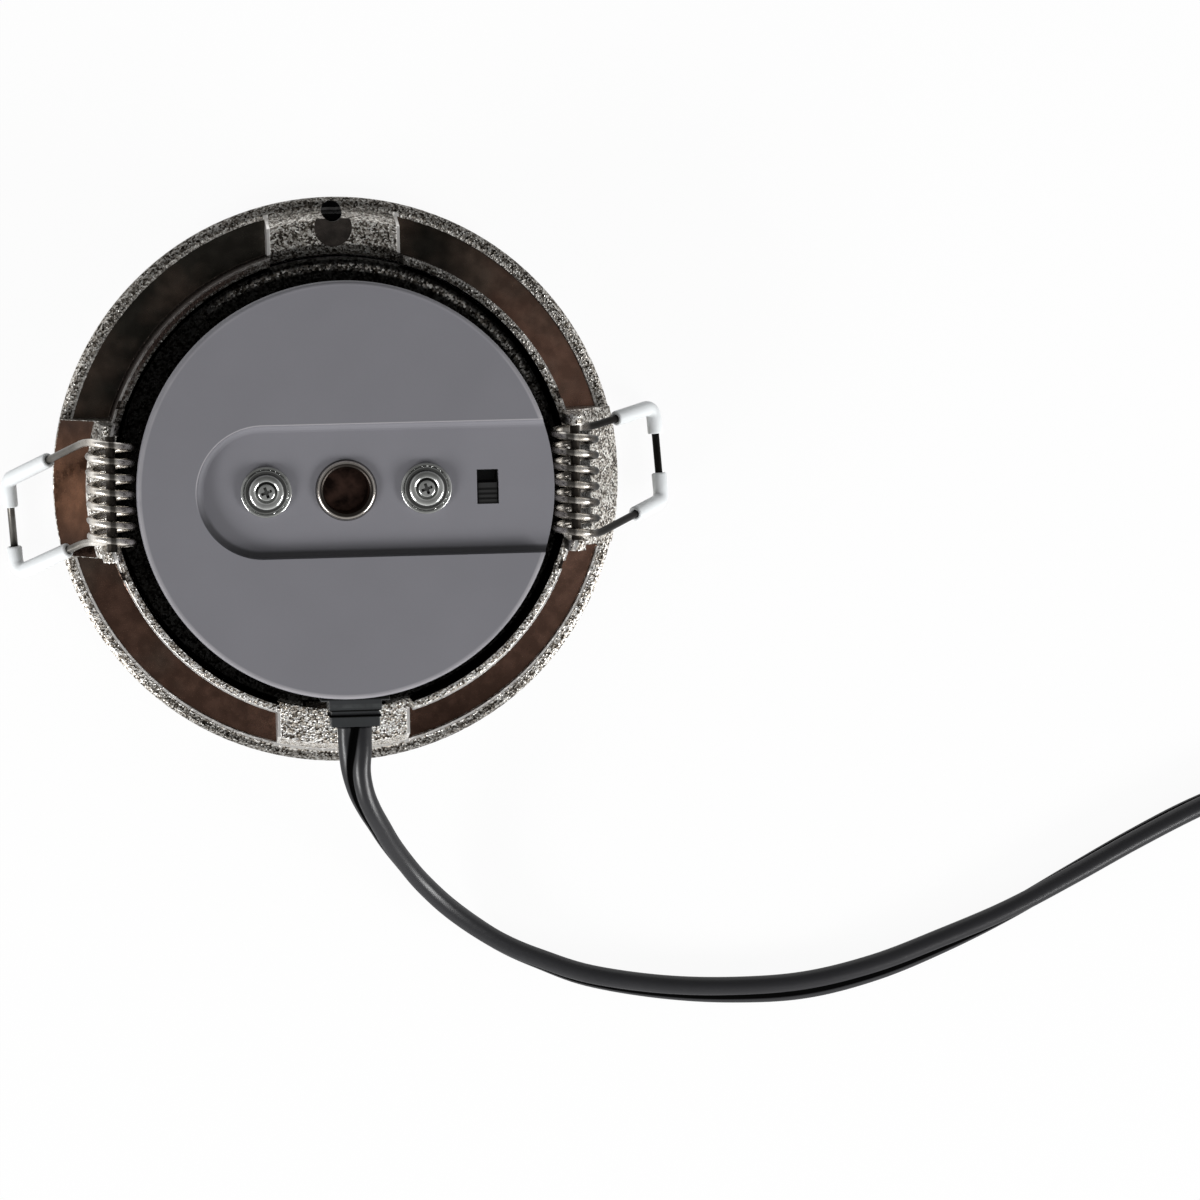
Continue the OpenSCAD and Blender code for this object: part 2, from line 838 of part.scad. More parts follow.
module reflector() {
    color([0.95, 0.95, 0.95])
        rotate_extrude()
            polygon([
                [optic_r, diffuser_top],
                [optic_r, reflector_top],
                [reflector_d / 2, reflector_top],
                [reflector_d / 2, reflector_top - reflector_lip],
                [optic_r - reflector_foot, diffuser_top],
            ]);
}

module led_board() {
    color([0.92, 0.93, 0.9])
        difference() {
            translate([0, 0, reflector_top]) cylinder(h = led_board_t, r = optic_r);
            translate([0, 0, reflector_top])
                around(led_screw_r, ring_screw_angles)
                    flat_screw(led_screw_head, led_board_t, led_screw_shank, led_screw_len, fit);
        }
}

module led_chips() {
    color([0.95, 0.85, 0.35])
        translate([0, 0, reflector_top - chip_h]) {
            around(outer_chip_r, [for (i = [0:outer_chips - 1]) 360 * i / outer_chips])
                block([chip_w, chip_l, chip_h], [0, 0], 0);
            around(inner_chip_r, [for (i = [0:inner_chips - 1]) 360 * (i + 0.5) / inner_chips])
                block([chip_w, chip_l, chip_h], [0, 0], 0);
        }
}

module led_board_screws() {
    color([0.75, 0.75, 0.74])
        translate([0, 0, reflector_top])
            around(led_screw_r, ring_screw_angles)
                flat_screw(led_screw_head, led_board_t, led_screw_shank, led_screw_len);
}

module thermal_pad() {
    color([0.75, 0.78, 0.82])
        difference() {
            translate([0, 0, led_board_top]) cylinder(h = pad_t, r = optic_r - 1);
            around(led_screw_r, ring_screw_angles) cylinder(h = far, r = led_screw_shank + boss_gap);
            block([connector[0] + 2 * boss_gap, connector[1] + 2 * boss_gap, far], [0, connector_y], 0);
        }
}

module led_connector() {
    color([0.9, 0.9, 0.88])
        block([connector[0], connector[1], driver_z - led_board_top], [0, connector_y], led_board_top);
}

module insulator_sheet() {
    color([0.9, 0.88, 0.78])
        difference() {
            translate([0, 0, deck_z]) cylinder(h = sheet_t, r = sheet_r);
            around(screw_x, [0, 180]) cylinder(h = far, r = boss_r + boss_gap);
            around(driver_post_r, driver_post_angles) cylinder(h = far, r = driver_post + boss_gap);
            block([connector[0] + 2 * boss_gap, connector[1] + 2 * boss_gap, far], [0, connector_y], 0);
        }
}

module driver_board() {
    color([0.16, 0.42, 0.22])
        difference() {
            translate([0, 0, driver_z]) cylinder(h = driver_t, r = driver_r);
            around(screw_x, [0, 180]) cylinder(h = far, r = boss_r + boss_gap);
            around(driver_post_r, driver_post_angles) cylinder(h = far, r = driver_screw_shank + fit);
        }
}

module driver_board_screws() {
    color([0.75, 0.75, 0.74])
        translate([0, 0, board_top])
            around(driver_post_r, driver_post_angles)
                pan_screw(driver_screw_head, driver_screw_h, driver_screw_shank, driver_t + post_h - fit);
}

module capacitor() {
    color([0.12, 0.12, 0.16])
        translate([capacitor_at[0] - capacitor_len / 2, capacitor_at[1], board_top + capacitor_d / 2])
            rotate([0, 90, 0])
                cylinder(h = capacitor_len, d = capacitor_d);
}

module inductor() {
    color([0.25, 0.25, 0.26])
        translate([inductor_at[0], inductor_at[1], board_top])
            difference() {
                cylinder(h = inductor_h, d = inductor_d);
                translate([0, 0, inductor_h * 0.2])
                    difference() {
                        cylinder(h = inductor_h * 0.6, d = inductor_d + 1);
                        translate([0, 0, -eps]) cylinder(h = inductor_h, d = inductor_d - 1.2);
                    }
            }
}

module rectifier() {
    color([0.1, 0.1, 0.1]) block(rectifier_size, rectifier_at, board_top);
}

module driver_chip() {
    color([0.1, 0.1, 0.1]) block(chip_size, chip_at, board_top);
}

module varistor() {
    color([0.2, 0.35, 0.65])
        translate([varistor_at[0], varistor_at[1], board_top]) cylinder(h = varistor_h, d = varistor_d);
}

module fuse_resistor() {
    color([0.45, 0.6, 0.4])
        translate([fuse_at[0] - fuse_len / 2, fuse_at[1], board_top + fuse_d / 2])
            rotate([0, 90, 0])
                cylinder(h = fuse_len, d = fuse_d);
}

module switch_body() {
    color([0.08, 0.08, 0.08])
        difference() {
            block([switch_w, switch_len, switch_h], [switch_x, 0], board_top);
            block(
                [knob_w + 2 * knob_gap, window_len, far],
                [switch_x, 0], board_top + switch_h - knob_deep - knob_gap
            );
        }
}

module switch_knob() {
    foot = board_top + switch_h - knob_deep;
    color([0.04, 0.04, 0.04])
        difference() {
            translate([switch_x - knob_w / 2, knob_y, foot]) cube([knob_w, knob_len, knob_top - foot]);
            for (i = [0:floor((knob_len - rib_pitch) / rib_pitch) - 1])
                translate([switch_x - far / 2, knob_y + rib_pitch * (i + 1) - rib_w / 2, knob_top - rib_w])
                    cube([far, rib_w, far]);
        }
}

// Half of the recess's section, whose floor runs up into the wall in a round
module recess_section() {
    r = min(recess_round, recess_deep);
    polygon([
        [0, recess_z],
        for (a = [-90:15:0]) [recess_r - r + r * cos(a), recess_z + r + r * sin(a)],
        [recess_r, far],
        [0, far],
    ]);
}

// Space of the recess, with a round end at the left and open to the right
module recess() {
    translate([-recess_x, 0, 0]) {
        rotate_extrude() recess_section();
        rotate([90, 0, 90])
            linear_extrude(far) {
                recess_section();
                mirror([1, 0, 0]) recess_section();
            }
    }
}

// Outline of the recess, larger all round
module recess_outline(more) {
    translate([-recess_x, 0]) circle(r = recess_r + more);
    translate([-recess_x, -recess_r - more]) square([far, 2 * (recess_r + more)]);
}

module rear_cover() {
    color([0.45, 0.45, 0.47])
        difference() {
            rotate_extrude()
                polygon([
                    [0, split_z],
                    [head_r, split_z],
                    [head_r, lip_z],
                    [lip_r, lip_z],
                    for (a = [0:15:90])
                        [lip_r - cover_edge + cover_edge * cos(a), rear_z - cover_edge + cover_edge * sin(a)],
                    [0, rear_z],
                ]);
            recess();
            difference() {
                translate([0, 0, split_z - eps]) cylinder(h = rear_z - cover_t - split_z + eps, r = head_in);
                translate([0, 0, floor_z]) linear_extrude(far) recess_outline(floor_t);
            }
            around(screw_x, [0, 180]) cylinder(h = far, d = screw_d + 0.3);
            cylinder(h = far, r = bush_body_r + fit);
            block([window_w, window_len, far], [switch_x, 0], split_z);
            translate([gland_x - gland_neck / 2 - notch_gap, -far, split_z - eps])
                cube([gland_neck + 2 * notch_gap, far - gland_in, gland_h + 2 * fit + eps]);
        }
}

module cover_screws() {
    color([0.85, 0.85, 0.86])
        translate([0, 0, recess_z + washer_t])
            around(screw_x, [0, 180])
                pan_screw(screw_head_d / 2, screw_head_h, screw_d / 2, screw_len);
}

module screw_washers() {
    color([0.8, 0.8, 0.82])
        translate([0, 0, recess_z])
            around(screw_x, [0, 180])
                difference() {
                    cylinder(h = washer_t + washer_rim, d = washer_d);
                    translate([0, 0, washer_t]) cylinder(h = far, d = washer_d - 4 * washer_rim);
                    translate([0, 0, -eps]) cylinder(h = far, d = screw_d + 0.2);
                }
}

module centre_bush() {
    foot = recess_z + bush_rim_h - bush_deep - bush_end;
    rim = (bush_r - bush_bore / 2) / 2;
    color([0.68, 0.64, 0.58])
        difference() {
            union() {
                translate([0, 0, foot]) cylinder(h = recess_z - foot + eps, r = bush_body_r);
                rotate_extrude()
                    polygon([
                        [0, recess_z],
                        [bush_r, recess_z],
                        for (a = [0:15:180])
                            [bush_r - rim + rim * cos(a), recess_z + bush_rim_h - rim + rim * sin(a)],
                        [0, recess_z + bush_rim_h - rim],
                    ]);
            }
            translate([0, 0, foot + bush_end]) cylinder(h = far, d = bush_bore);
        }
}

// Part of the gland, w wide and h high, between two distances from the head's axis
module gland_step(w, h, y1, y2) {
    translate([gland_x - w / 2, -y2, gland_z - h / 2]) cube([w, y2 - y1, h]);
}

module cable_gland() {
    rim_y = gland_reach - gland_nose;
    groove_y = rim_y - gland_rim_t;
    color([0.09, 0.09, 0.1])
        difference() {
            union() {
                gland_step(gland_flange_w, gland_h, gland_in - gland_in_t, gland_in);
                gland_step(gland_neck, gland_h, gland_in - eps, gland_flange_y + eps);
                gland_step(gland_flange_w, gland_h, gland_flange_y, gland_flange_y + gland_flange_t);
                gland_step(gland_w, gland_h, gland_flange_y, rim_y);
                gland_step(gland_nose_w, gland_nose_h, gland_flange_y, gland_reach);
            }
            // Groove behind the rim
            difference() {
                gland_step(far, far, groove_y - gland_groove_w, groove_y);
                gland_step(gland_w - 2 * gland_groove_t, gland_h - 2 * gland_groove_t,
                    groove_y - gland_groove_w - eps, groove_y + eps);
            }
            // Passage of the flat cable
            for (side = [-1, 1])
                shaft_y(cable_t / 2 + fit, gland_x + side * core_side, gland_z, -far, 0);
            gland_step(2 * core_side, cable_t + 2 * fit, 0, far);
        }
}

// One lead inside the head, from the cable's inner end to the driver board
module inner_lead(side) {
    start = cable_route[0];
    points = [
        for (s = lead_steps)
            [start[0] + side * (core_side + s[1]), start[1] + s[0], board_top + s[2]]
    ];
    round_tube(points, core_d / 2, core_sides, [1, 0, 0]);
}

module inner_leads() {
    color([0.35, 0.2, 0.12]) inner_lead(-1);
    color([0.15, 0.3, 0.65]) inner_lead(1);
}

module cable() {
    color([0.05, 0.05, 0.06])
        sweep(cable_route, level_dirs(cable_route), flat_section(cable_w, cable_t, cable_sides), cable_turn);
}

// One core beyond the cable's far end
function core_points(side) = [
    for (s = core_steps)
        [cable_end[0] + side * (core_side + s[1]), cable_end[1] + s[0], cable_end[2]]
];

module core_brown() {
    color([0.35, 0.2, 0.12]) round_tube(core_points(-1), core_d / 2, core_sides, [1, 0, 0]);
}

module core_blue() {
    color([0.15, 0.3, 0.65]) round_tube(core_points(1), core_d / 2, core_sides, [1, 0, 0]);
}

module ferrules() {
    last = len(core_steps) - 1;
    color([0.8, 0.8, 0.8])
        for (side = [-1, 1])
            let (points = core_points(side), dir = heading(points, last))
            round_tube([points[last], points[last] + ferrule_len * dir], ferrule_d / 2, core_sides, [1, 0, 0]);
}

trim_ring();
pivot_pins();
axle_left();
axle_right();
spring_left();
spring_right();
sleeve_left_front();
sleeve_left_back();
sleeve_right_front();
sleeve_right_back();
gimbal_ring();
gimbal_screws();
heat_sink();
diffuser();
reflector();
led_board();
led_chips();
led_board_screws();
thermal_pad();
led_connector();
insulator_sheet();
driver_board();
driver_board_screws();
capacitor();
inductor();
rectifier();
driver_chip();
varistor();
fuse_resistor();
switch_body();
switch_knob();
rear_cover();
cover_screws();
screw_washers();
centre_bush();
cable_gland();
inner_leads();
cable();
core_brown();
core_blue();
ferrules();
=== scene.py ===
"""Looks of the recessed downlight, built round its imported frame. Lengths are in mm until they reach Blender."""
import json
import math

import bpy
import numpy as np
from mathutils import Matrix, Vector


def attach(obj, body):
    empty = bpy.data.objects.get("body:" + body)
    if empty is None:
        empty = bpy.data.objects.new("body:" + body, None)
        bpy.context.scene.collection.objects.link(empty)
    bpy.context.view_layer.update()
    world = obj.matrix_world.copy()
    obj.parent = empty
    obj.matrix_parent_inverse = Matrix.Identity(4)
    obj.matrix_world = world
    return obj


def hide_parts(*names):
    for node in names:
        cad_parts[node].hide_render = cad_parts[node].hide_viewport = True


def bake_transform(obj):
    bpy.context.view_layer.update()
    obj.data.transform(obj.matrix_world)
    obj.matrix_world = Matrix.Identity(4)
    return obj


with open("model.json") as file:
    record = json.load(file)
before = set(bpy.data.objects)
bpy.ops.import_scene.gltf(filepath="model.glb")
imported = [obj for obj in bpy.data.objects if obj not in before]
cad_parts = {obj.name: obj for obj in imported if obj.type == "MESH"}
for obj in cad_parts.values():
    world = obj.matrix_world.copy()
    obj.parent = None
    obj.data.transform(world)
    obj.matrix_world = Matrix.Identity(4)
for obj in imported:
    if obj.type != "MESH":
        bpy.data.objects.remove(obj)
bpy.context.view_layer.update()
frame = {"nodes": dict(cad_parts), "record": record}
nodes = frame["nodes"]
MM = 0.001

# Camera

# Fitted to the photograph: 1.05 m above the light, a little left of and behind it
CAMERA_AT = (-66.5, 73.4, 1053.1)
CAMERA_TARGET = (42.14, -20.63, 0)
CAMERA_ROLL = -0.0184
FOCAL_PX, PHOTO_PX, SENSOR = 6617.5, 1200, 36


def set_camera():
    place, target = Vector(CAMERA_AT) * MM, Vector(CAMERA_TARGET) * MM
    look = (target - place).normalized()
    right = look.cross(Vector((0, 1, 0))).normalized()
    up = right.cross(look)
    across = math.cos(CAMERA_ROLL) * right + math.sin(CAMERA_ROLL) * up
    upward = -math.sin(CAMERA_ROLL) * right + math.cos(CAMERA_ROLL) * up
    turn = Matrix((across, upward, -look)).transposed()
    data = bpy.data.cameras.new("camera")
    data.sensor_width = SENSOR
    data.lens = FOCAL_PX * SENSOR / PHOTO_PX
    data.clip_start, data.clip_end = 0.05, 10
    camera = bpy.data.objects.new("camera", data)
    camera.matrix_world = Matrix.Translation(place) @ turn.to_4x4()
    bpy.context.scene.collection.objects.link(camera)
    bpy.context.scene.camera = camera


set_camera()

# Meshes

SHARP_ANGLE = 35


def unit(v):
    return v / np.linalg.norm(v)


def mesh_object(name, verts, faces, smooth=True):
    """A new mesh in the row frame."""
    data = bpy.data.meshes.new(name)
    data.from_pydata([tuple(float(x) * MM for x in v) for v in verts], [], faces)
    data.validate()
    data.polygons.foreach_set("use_smooth", [smooth] * len(data.polygons))
    piece = bpy.data.objects.new(name, data)
    bpy.context.scene.collection.objects.link(piece)
    return piece


def join(name, parts):
    """One mesh from several lists of points and faces."""
    verts, faces = [], []
    for v, f in parts:
        base = len(verts)
        verts += [tuple(p) for p in v]
        faces += [tuple(base + i for i in face) for face in f]
    return mesh_object(name, verts, faces)


def headings(points):
    """Direction of a route at each of its points."""
    points = [np.array(p, float) for p in points]
    last = len(points) - 1
    return [unit(points[min(i + 1, last)] - points[max(i - 1, 0)]) for i in range(last + 1)]


def carried(points, first):
    """Side directions carried along a route without twist."""
    sides, side = [], np.array(first, float)
    for t in headings(points):
        side = unit(side - side.dot(t) * t)
        sides.append(side)
    return sides


def level(points):
    """Level side directions along a route that never stands upright."""
    return [unit(np.cross(t, (0, 0, 1))) for t in headings(points)]


def sweep(points, sides, sections, turns=None):
    """Points and faces of a closed tube; sections is one list of 2-D points, or one for each ring."""
    points = [np.array(p, float) for p in points]
    if turns is None:
        turns = [0] * len(points)
    if np.ndim(sections) == 2:
        sections = [sections] * len(points)
    verts, faces = [], []
    n = len(sections[0])
    for p, t, s, a, section in zip(points, headings(points), sides, turns, sections):
        u = np.cross(t, s)
        c, d = math.cos(math.radians(a)), math.sin(math.radians(a))
        for x, y in section:
            verts.append(p + (x * c - y * d) * s + (x * d + y * c) * u)
    for i in range(len(points) - 1):
        for j in range(n):
            k = (j + 1) % n
            faces.append((i * n + j, i * n + k, (i + 1) * n + k, (i + 1) * n + j))
    faces.append(tuple(reversed(range(n))))
    faces.append(tuple(range((len(points) - 1) * n, len(points) * n)))
    return verts, faces


def circle(r, n):
    return [(r * math.cos(2 * math.pi * j / n), r * math.sin(2 * math.pi * j / n)) for j in range(n)]


def lathe(profile, at, segments=64):
    """Points and faces of a profile of (radius, height) turned about Z at a place."""
    verts, faces, rings = [], [], []
    for r, z in profile:
        if r < 1e-6:
            rings.append([len(verts)] * segments)
            verts.append((at[0], at[1], z))
        else:
            rings.append(list(range(len(verts), len(verts) + segments)))
            for j in range(segments):
                a = 2 * math.pi * j / segments
                verts.append((at[0] + r * math.cos(a), at[1] + r * math.sin(a), z))
    for lower, upper in zip(rings, rings[1:]):
        for j in range(segments):
            k = (j + 1) % segments
            face = [lower[j], lower[k], upper[k], upper[j]]
            face = [v for i, v in enumerate(face) if v not in face[:i]]
            if len(face) > 2:
                faces.append(tuple(face))
    return verts, faces


def spline(points, steps):
    """A smooth curve through the points, with some steps from each to the next."""
    p = np.array(points, float)
    p = np.vstack([2 * p[0] - p[1], p, 2 * p[-1] - p[-2]])
    out = []
    for i in range(1, len(p) - 2):
        for k in range(steps):
            t = k / steps
            a, b, c, d = p[i - 1], p[i], p[i + 1], p[i + 2]
            out.append(0.5 * (2 * b + (c - a) * t + (2 * a - 5 * b + 4 * c - d) * t * t
                              + (3 * b - a - 3 * c + d) * t ** 3))
    out.append(p[-2])
    return out


def soften(piece, width):
    """Rounds the sharp edges of a CAD node with modifiers."""
    weld = piece.modifiers.new("weld", "WELD")
    weld.merge_threshold = 1e-6
    bevel = piece.modifiers.new("edges", "BEVEL")
    bevel.width = width * MM
    bevel.segments = 2
    bevel.limit_method = "ANGLE"
    bevel.angle_limit = math.radians(SHARP_ANGLE)
    bevel.harden_normals = True
    bevel.use_clamp_overlap = True


# Nodes of materials


def opaque(color):
    """Four numbers from a colour or a grey."""
    return (*color, 1) if np.ndim(color) else (color, color, color, 1)


def put(tree, node, socket, value):
    """Links or sets one input of a node."""
    if isinstance(value, bpy.types.NodeSocket):
        tree.links.new(value, node.inputs[socket])
    else:
        node.inputs[socket].default_value = value


def add_node(tree, kind, props=None, **inputs):
    """A node with its inputs by name, or by number as i0, i1."""
    node = tree.nodes.new("ShaderNode" + kind)
    for key, value in (props or {}).items():
        setattr(node, key, value)
    for key, value in inputs.items():
        numbered = key[0] == "i" and key[1:].isdigit()
        put(tree, node, int(key[1:]) if numbered else key.replace("_", " "), value)
    return node


def add_ramp(tree, value, stops):
    """A colour ramp with stops of (position, colour or grey)."""
    node = add_node(tree, "ValToRGB", Fac=value)
    points = node.color_ramp.elements
    while len(points) < len(stops):
        points.new(1)
    for point, (at, color) in zip(points, stops):
        point.position = at
        point.color = opaque(color)
    return node.outputs["Color"]


class Mat:
    """A node material with short ways to add its nodes. The lengths that they take are in mm."""

    def __init__(self, name, color, metallic, roughness):
        self.mat = bpy.data.materials.new(name)
        self.mat.use_nodes = True
        self.tree = self.mat.node_tree
        self.shader = self.tree.nodes["Principled BSDF"]
        self.mat.diffuse_color = opaque(color)
        self.shade(Base_Color=opaque(color), Metallic=metallic, Roughness=roughness)
        self.place = self.add("TexCoord", "Object")

    def shade(self, **inputs):
        """Sets inputs of the shader."""
        for key, value in inputs.items():
            put(self.tree, self.shader, key.replace("_", " "), value)

    def locate(self):
        """Sets x, y, z, the sizes of x and y, and the distance from the Z axis, all in metres."""
        self.x, self.y, self.z = add_node(self.tree, "SeparateXYZ", i0=self.place).outputs
        self.wide, self.deep = self.math("ABSOLUTE", self.x), self.math("ABSOLUTE", self.y)
        self.r = self.length(self.x, self.y)
        return self

    def add(self, kind, out=0, props=None, **inputs):
        return add_node(self.tree, kind, props, **inputs).outputs[out]

    def noise(self, size, detail=2.0, rough=0.5, vector=None):
        return self.add("TexNoise", Vector=vector or self.place, Scale=1 / (size * MM), Detail=detail,
                        Roughness=rough)

    def cells(self, size, out="Color"):
        return self.add("TexVoronoi", out, Vector=self.place, Scale=1 / (size * MM))

    def math(self, op, a, b=0.0):
        return self.add("Math", 0, {"operation": op}, i0=a, i1=b)

    def product(self, first, *others):
        for other in others:
            first = self.math("MULTIPLY", first, other)
        return first

    def most(self, first, *others):
        for other in others:
            first = self.math("MAXIMUM", first, other)
        return first

    def rest(self, value):
        """What a mask leaves."""
        return self.math("SUBTRACT", 1, value)

    def line(self, value, slope, start):
        """value * slope + start"""
        return self.math("ADD", self.math("MULTIPLY", value, slope), start)

    def less(self, a, b, factor):
        """a - b * factor"""
        return self.math("SUBTRACT", a, self.math("MULTIPLY", b, factor))

    def length(self, a, b):
        """Length of a vector in plan."""
        return self.math("SQRT", self.math("ADD", self.product(a, a), self.product(b, b)))

    def away(self, x, y, at):
        """Distance in plan from a place."""
        return self.length(self.math("SUBTRACT", x, at[0] * MM), self.math("SUBTRACT", y, at[1] * MM))

    def above(self, value, low, high):
        """0 below low, 1 above high."""
        return self.add("MapRange", 0, {"interpolation_type": "SMOOTHSTEP"}, Value=value, From_Min=low * MM,
                        From_Max=high * MM)

    def below(self, value, low, high):
        """1 below low, 0 above high."""
        return self.rest(self.above(value, low, high))

    def band(self, value, low, high, soft=0.1):
        """1 between low and high, 0 outside."""
        return self.product(self.above(value, low - soft, low + soft), self.below(value, high - soft, high + soft))

    def ramp(self, value, *stops):
        return add_ramp(self.tree, value, stops)

    def mix(self, fac, a, b):
        node = add_node(self.tree, "Mix", {"data_type": "RGBA"}, i0=fac)
        for i, value in ((6, a), (7, b)):
            put(self.tree, node, i, value if isinstance(value, bpy.types.NodeSocket) else opaque(value))
        return node.outputs[2]

    def times(self, color, factor):
        """A colour multiplied by a grey factor."""
        return self.add("VectorMath", 0, {"operation": "SCALE"}, i0=color, Scale=factor)

    def near_to_far(self):
        """About 0.15 at the ring's near edge and 0.85 at its far edge."""
        return self.line(self.y, 8, 0.5)

    def dim(self, color, mask, amount):
        """A colour darkened by an amount where the mask is 1."""
        return self.times(color, self.rest(self.math("MULTIPLY", mask, amount)))

    def bump(self, height, strength, depth, **normal):
        return self.add("Bump", Strength=strength, Distance=depth * MM, Height=height, **normal)

    def finish(self, color, rough, normal):
        self.shade(Base_Color=color, Roughness=rough, Normal=normal)
        return self.mat


# Materials

# Sizes of the CAD model that the looks follow. The masks stand a little off them, since the edges are rounded
RING_R, BORE_R, COLLAR_R, RIM_IN = 45.0, 36.1, 37.4, 43.0
PLATE_T, RIM_TOP, LAND_TOP, COLLAR_TOP = 2.0, 3.4, 8.5, 15.5
LAND_HALF, SEAT_HALF = 10.5, 10.8
SEAT_IN, SEAT_BACK = 40.0, -31.0
MARK_AT, MARK_R, MARK_Z = (0, 40.3), 3.0, 8.0
HOLE_AT, HOLE_R = (0, 42.8), 1.6
GIMBAL_RIDGE_R = 34.3
COIL_X, COIL_D = 36.4, 7.8
COVER_TOP, RECESS_Z, LIP_R = 28.5, 26.5, 32.6
RECESS_X, RECESS_R = 13.0, 10.4
SCREW_X, SCREW_HEAD_R, SCREW_TOP = 12.5, 2.65, 28.0
BUSH_R, BUSH_BORE_R = 4.65, 3.55
# Distances of the gland's parts from the axis, toward the near side
GLAND_FLANGE, GLAND_EDGE, GLAND_GROOVES = 33.0, (33.7, 34.3), ((34.57, 34.89), (35.38, 35.78))
# Where the painted shade on the legs begins as the wire leaves the coils
RIGHT_LEG, LEFT_LEG = (38.8, 40.0), (-42.5, -39.8)
# Softness of a mask at a sharp edge
SHARP = 0.05

GREY = (0.172, 0.170, 0.188)
# Colour of the painted highlights on the ring's edges
EDGE_GLINT = (0.97, 0.95, 0.92)
# Colour of the painted shade on the collar's far left
COLLAR_SHADE = (0.055, 0.038, 0.032)


def speckle(m, size):
    """Colour, roughness and height of a sparkling cast grain."""
    grain = m.add("SeparateColor", Color=m.cells(size))
    slow = m.math("MULTIPLY", m.math("SUBTRACT", m.noise(1.6, 3), 0.5), 0.6)
    color = m.ramp(m.math("ADD", grain, slow), (0.08, (0.040, 0.033, 0.026)), (0.34, (0.22, 0.195, 0.165)),
                   (0.56, (0.55, 0.51, 0.46)), (0.92, (1.0, 0.98, 0.93)))
    rough = m.ramp(m.noise(size, 1), (0.3, 0.24), (0.7, 0.5))
    height = m.math("ADD", m.cells(size, "Distance"), m.noise(1.5 * size))
    return color, rough, height


def ring_painted_light(m, color):
    """Painted light and shade over the ring's grain: brighter toward the near side and darker toward the round mark,
    with painted shade on the rim's near and far ends, along the bore and under the clips.
    """
    # Painted light: the grain is brighter on the near side, toward the lamps
    painted_light_and_shade = m.ramp(m.math("ADD", m.math("MULTIPLY", m.y, 8), m.line(m.noise(9), 0.3, 0.3)),
                  (0.15, 2.1), (0.42, 0.95), (0.8, 0.95))
    # Painted shade on the rim at its near and far ends
    shaded_rim_ends = m.product(m.above(m.r, RIM_IN + 0.4, RIM_IN + 0.8), m.above(m.deep, 18, 40),
                         m.ramp(m.near_to_far(), (0.2, 0.80), (0.8, 0.60)))
    painted_light_and_shade = m.times(painted_light_and_shade, m.rest(shaded_rim_ends))
    color = m.add("VectorMath", 0, {"operation": "MULTIPLY"}, i0=color, i1=painted_light_and_shade)
    color = m.add("VectorMath", 0, {"operation": "MINIMUM"}, i0=color, i1=(1.0, 0.985, 0.95))
    # Painted shade on the far ear of the left clip, painted shadow on the metal under the right coil, and painted
    # shade along the bore's edge
    shaded_left_ear = m.product(m.below(m.x, -33, SEAT_BACK), m.band(m.y, 7.0, 12.5, 0.4))
    coil_shadow = m.product(m.band(m.x, COIL_X + 0.4, COIL_X + 3.7, 0.3), m.below(m.deep, 7.8, 8.4))
    bore_edge_shade = m.below(m.r, BORE_R + 0.1, BORE_R + 0.8)
    for mask, amount in ((shaded_left_ear, 0.5), (coil_shadow, 0.93), (bore_edge_shade, 0.45)):
        color = m.dim(color, mask, amount)
    return color


def ring_collar_shade(m, color):
    """Painted shade on the collar's far side, darkest at its far left, and on its outer wall over the pockets."""
    # Painted shade on the collar's far side
    far_shade = m.product(m.above(m.less(m.y, m.x, 0.2), 12, 30), m.below(m.r, COLLAR_R + 0.2, COLLAR_R + 0.5))
    color = m.dim(color, far_shade, 0.72)
    far_left_shade = m.product(far_shade, m.below(m.x, -20, -8), m.above(m.r, BORE_R + 0.2, BORE_R + 0.5), 0.97)
    color = m.mix(far_left_shade, color, COLLAR_SHADE)
    # Painted shade on the collar's outer wall, over the pockets
    wall = m.product(m.band(m.r, COLLAR_R - 0.5, COLLAR_R + 0.4, SHARP),
                     m.band(m.z, PLATE_T - 0.5, COLLAR_TOP - 0.6),
                     m.above(m.wide, LAND_HALF - 0.2, LAND_HALF + 0.1),
                     m.above(m.deep, SEAT_HALF + 0.1, SEAT_HALF + 0.4))
    return m.mix(wall, color, (0.045, 0.036, 0.031))


def ring_floors(m, color):
    """Smooth, tarnished floors of the pockets and of the left seat, with painted shade toward the far left and painted
    light on the right pockets toward the clip, and where they are.
    """
    floor = m.product(m.band(m.r, COLLAR_R + 0.15, RIM_IN - 0.05, SHARP), m.band(m.z, PLATE_T - 0.2, PLATE_T + 0.2))
    seat = m.product(m.below(m.x, SEAT_BACK, SEAT_BACK + 1), m.band(m.r, SEAT_IN - 0.1, RING_R - 0.1, SHARP),
                     m.below(m.deep, SEAT_HALF - 0.1, SEAT_HALF), m.above(m.z, PLATE_T + 0.4, PLATE_T + 0.8))
    # Painted shade: the pocket floors darken toward the far left
    far_side = m.math("SUBTRACT", m.math("MULTIPLY", m.y, 9), m.math("MULTIPLY", m.x, 5))
    tone = m.ramp(m.math("ADD", far_side, m.noise(11, 3)), (0.45, (0.165, 0.093, 0.068)),
                  (0.66, (0.145, 0.103, 0.080)), (0.92, (0.040, 0.036, 0.030)))
    # Painted light: the right pockets are lighter toward the clip
    clip_light = m.math("SUBTRACT", m.ramp(m.math("MULTIPLY", m.deep, 20), (0.25, 1.9), (0.6, 1.1), (0.78, 0.55)), 1)
    tone = m.times(tone, m.math("ADD", 1, m.product(clip_light, m.above(m.x, 5, 15))))
    seat_tone = m.ramp(m.math("MULTIPLY", m.deep, 100), (0.3, (0.140, 0.068, 0.040)), (1.0, (0.050, 0.028, 0.020)))
    cloud = m.ramp(m.noise(2.4, 4), (0.4, 0.8), (0.65, 1.2))
    color = m.mix(floor, color, m.times(tone, cloud))
    color = m.mix(seat, color, m.times(seat_tone, cloud))
    return color, m.most(floor, seat)


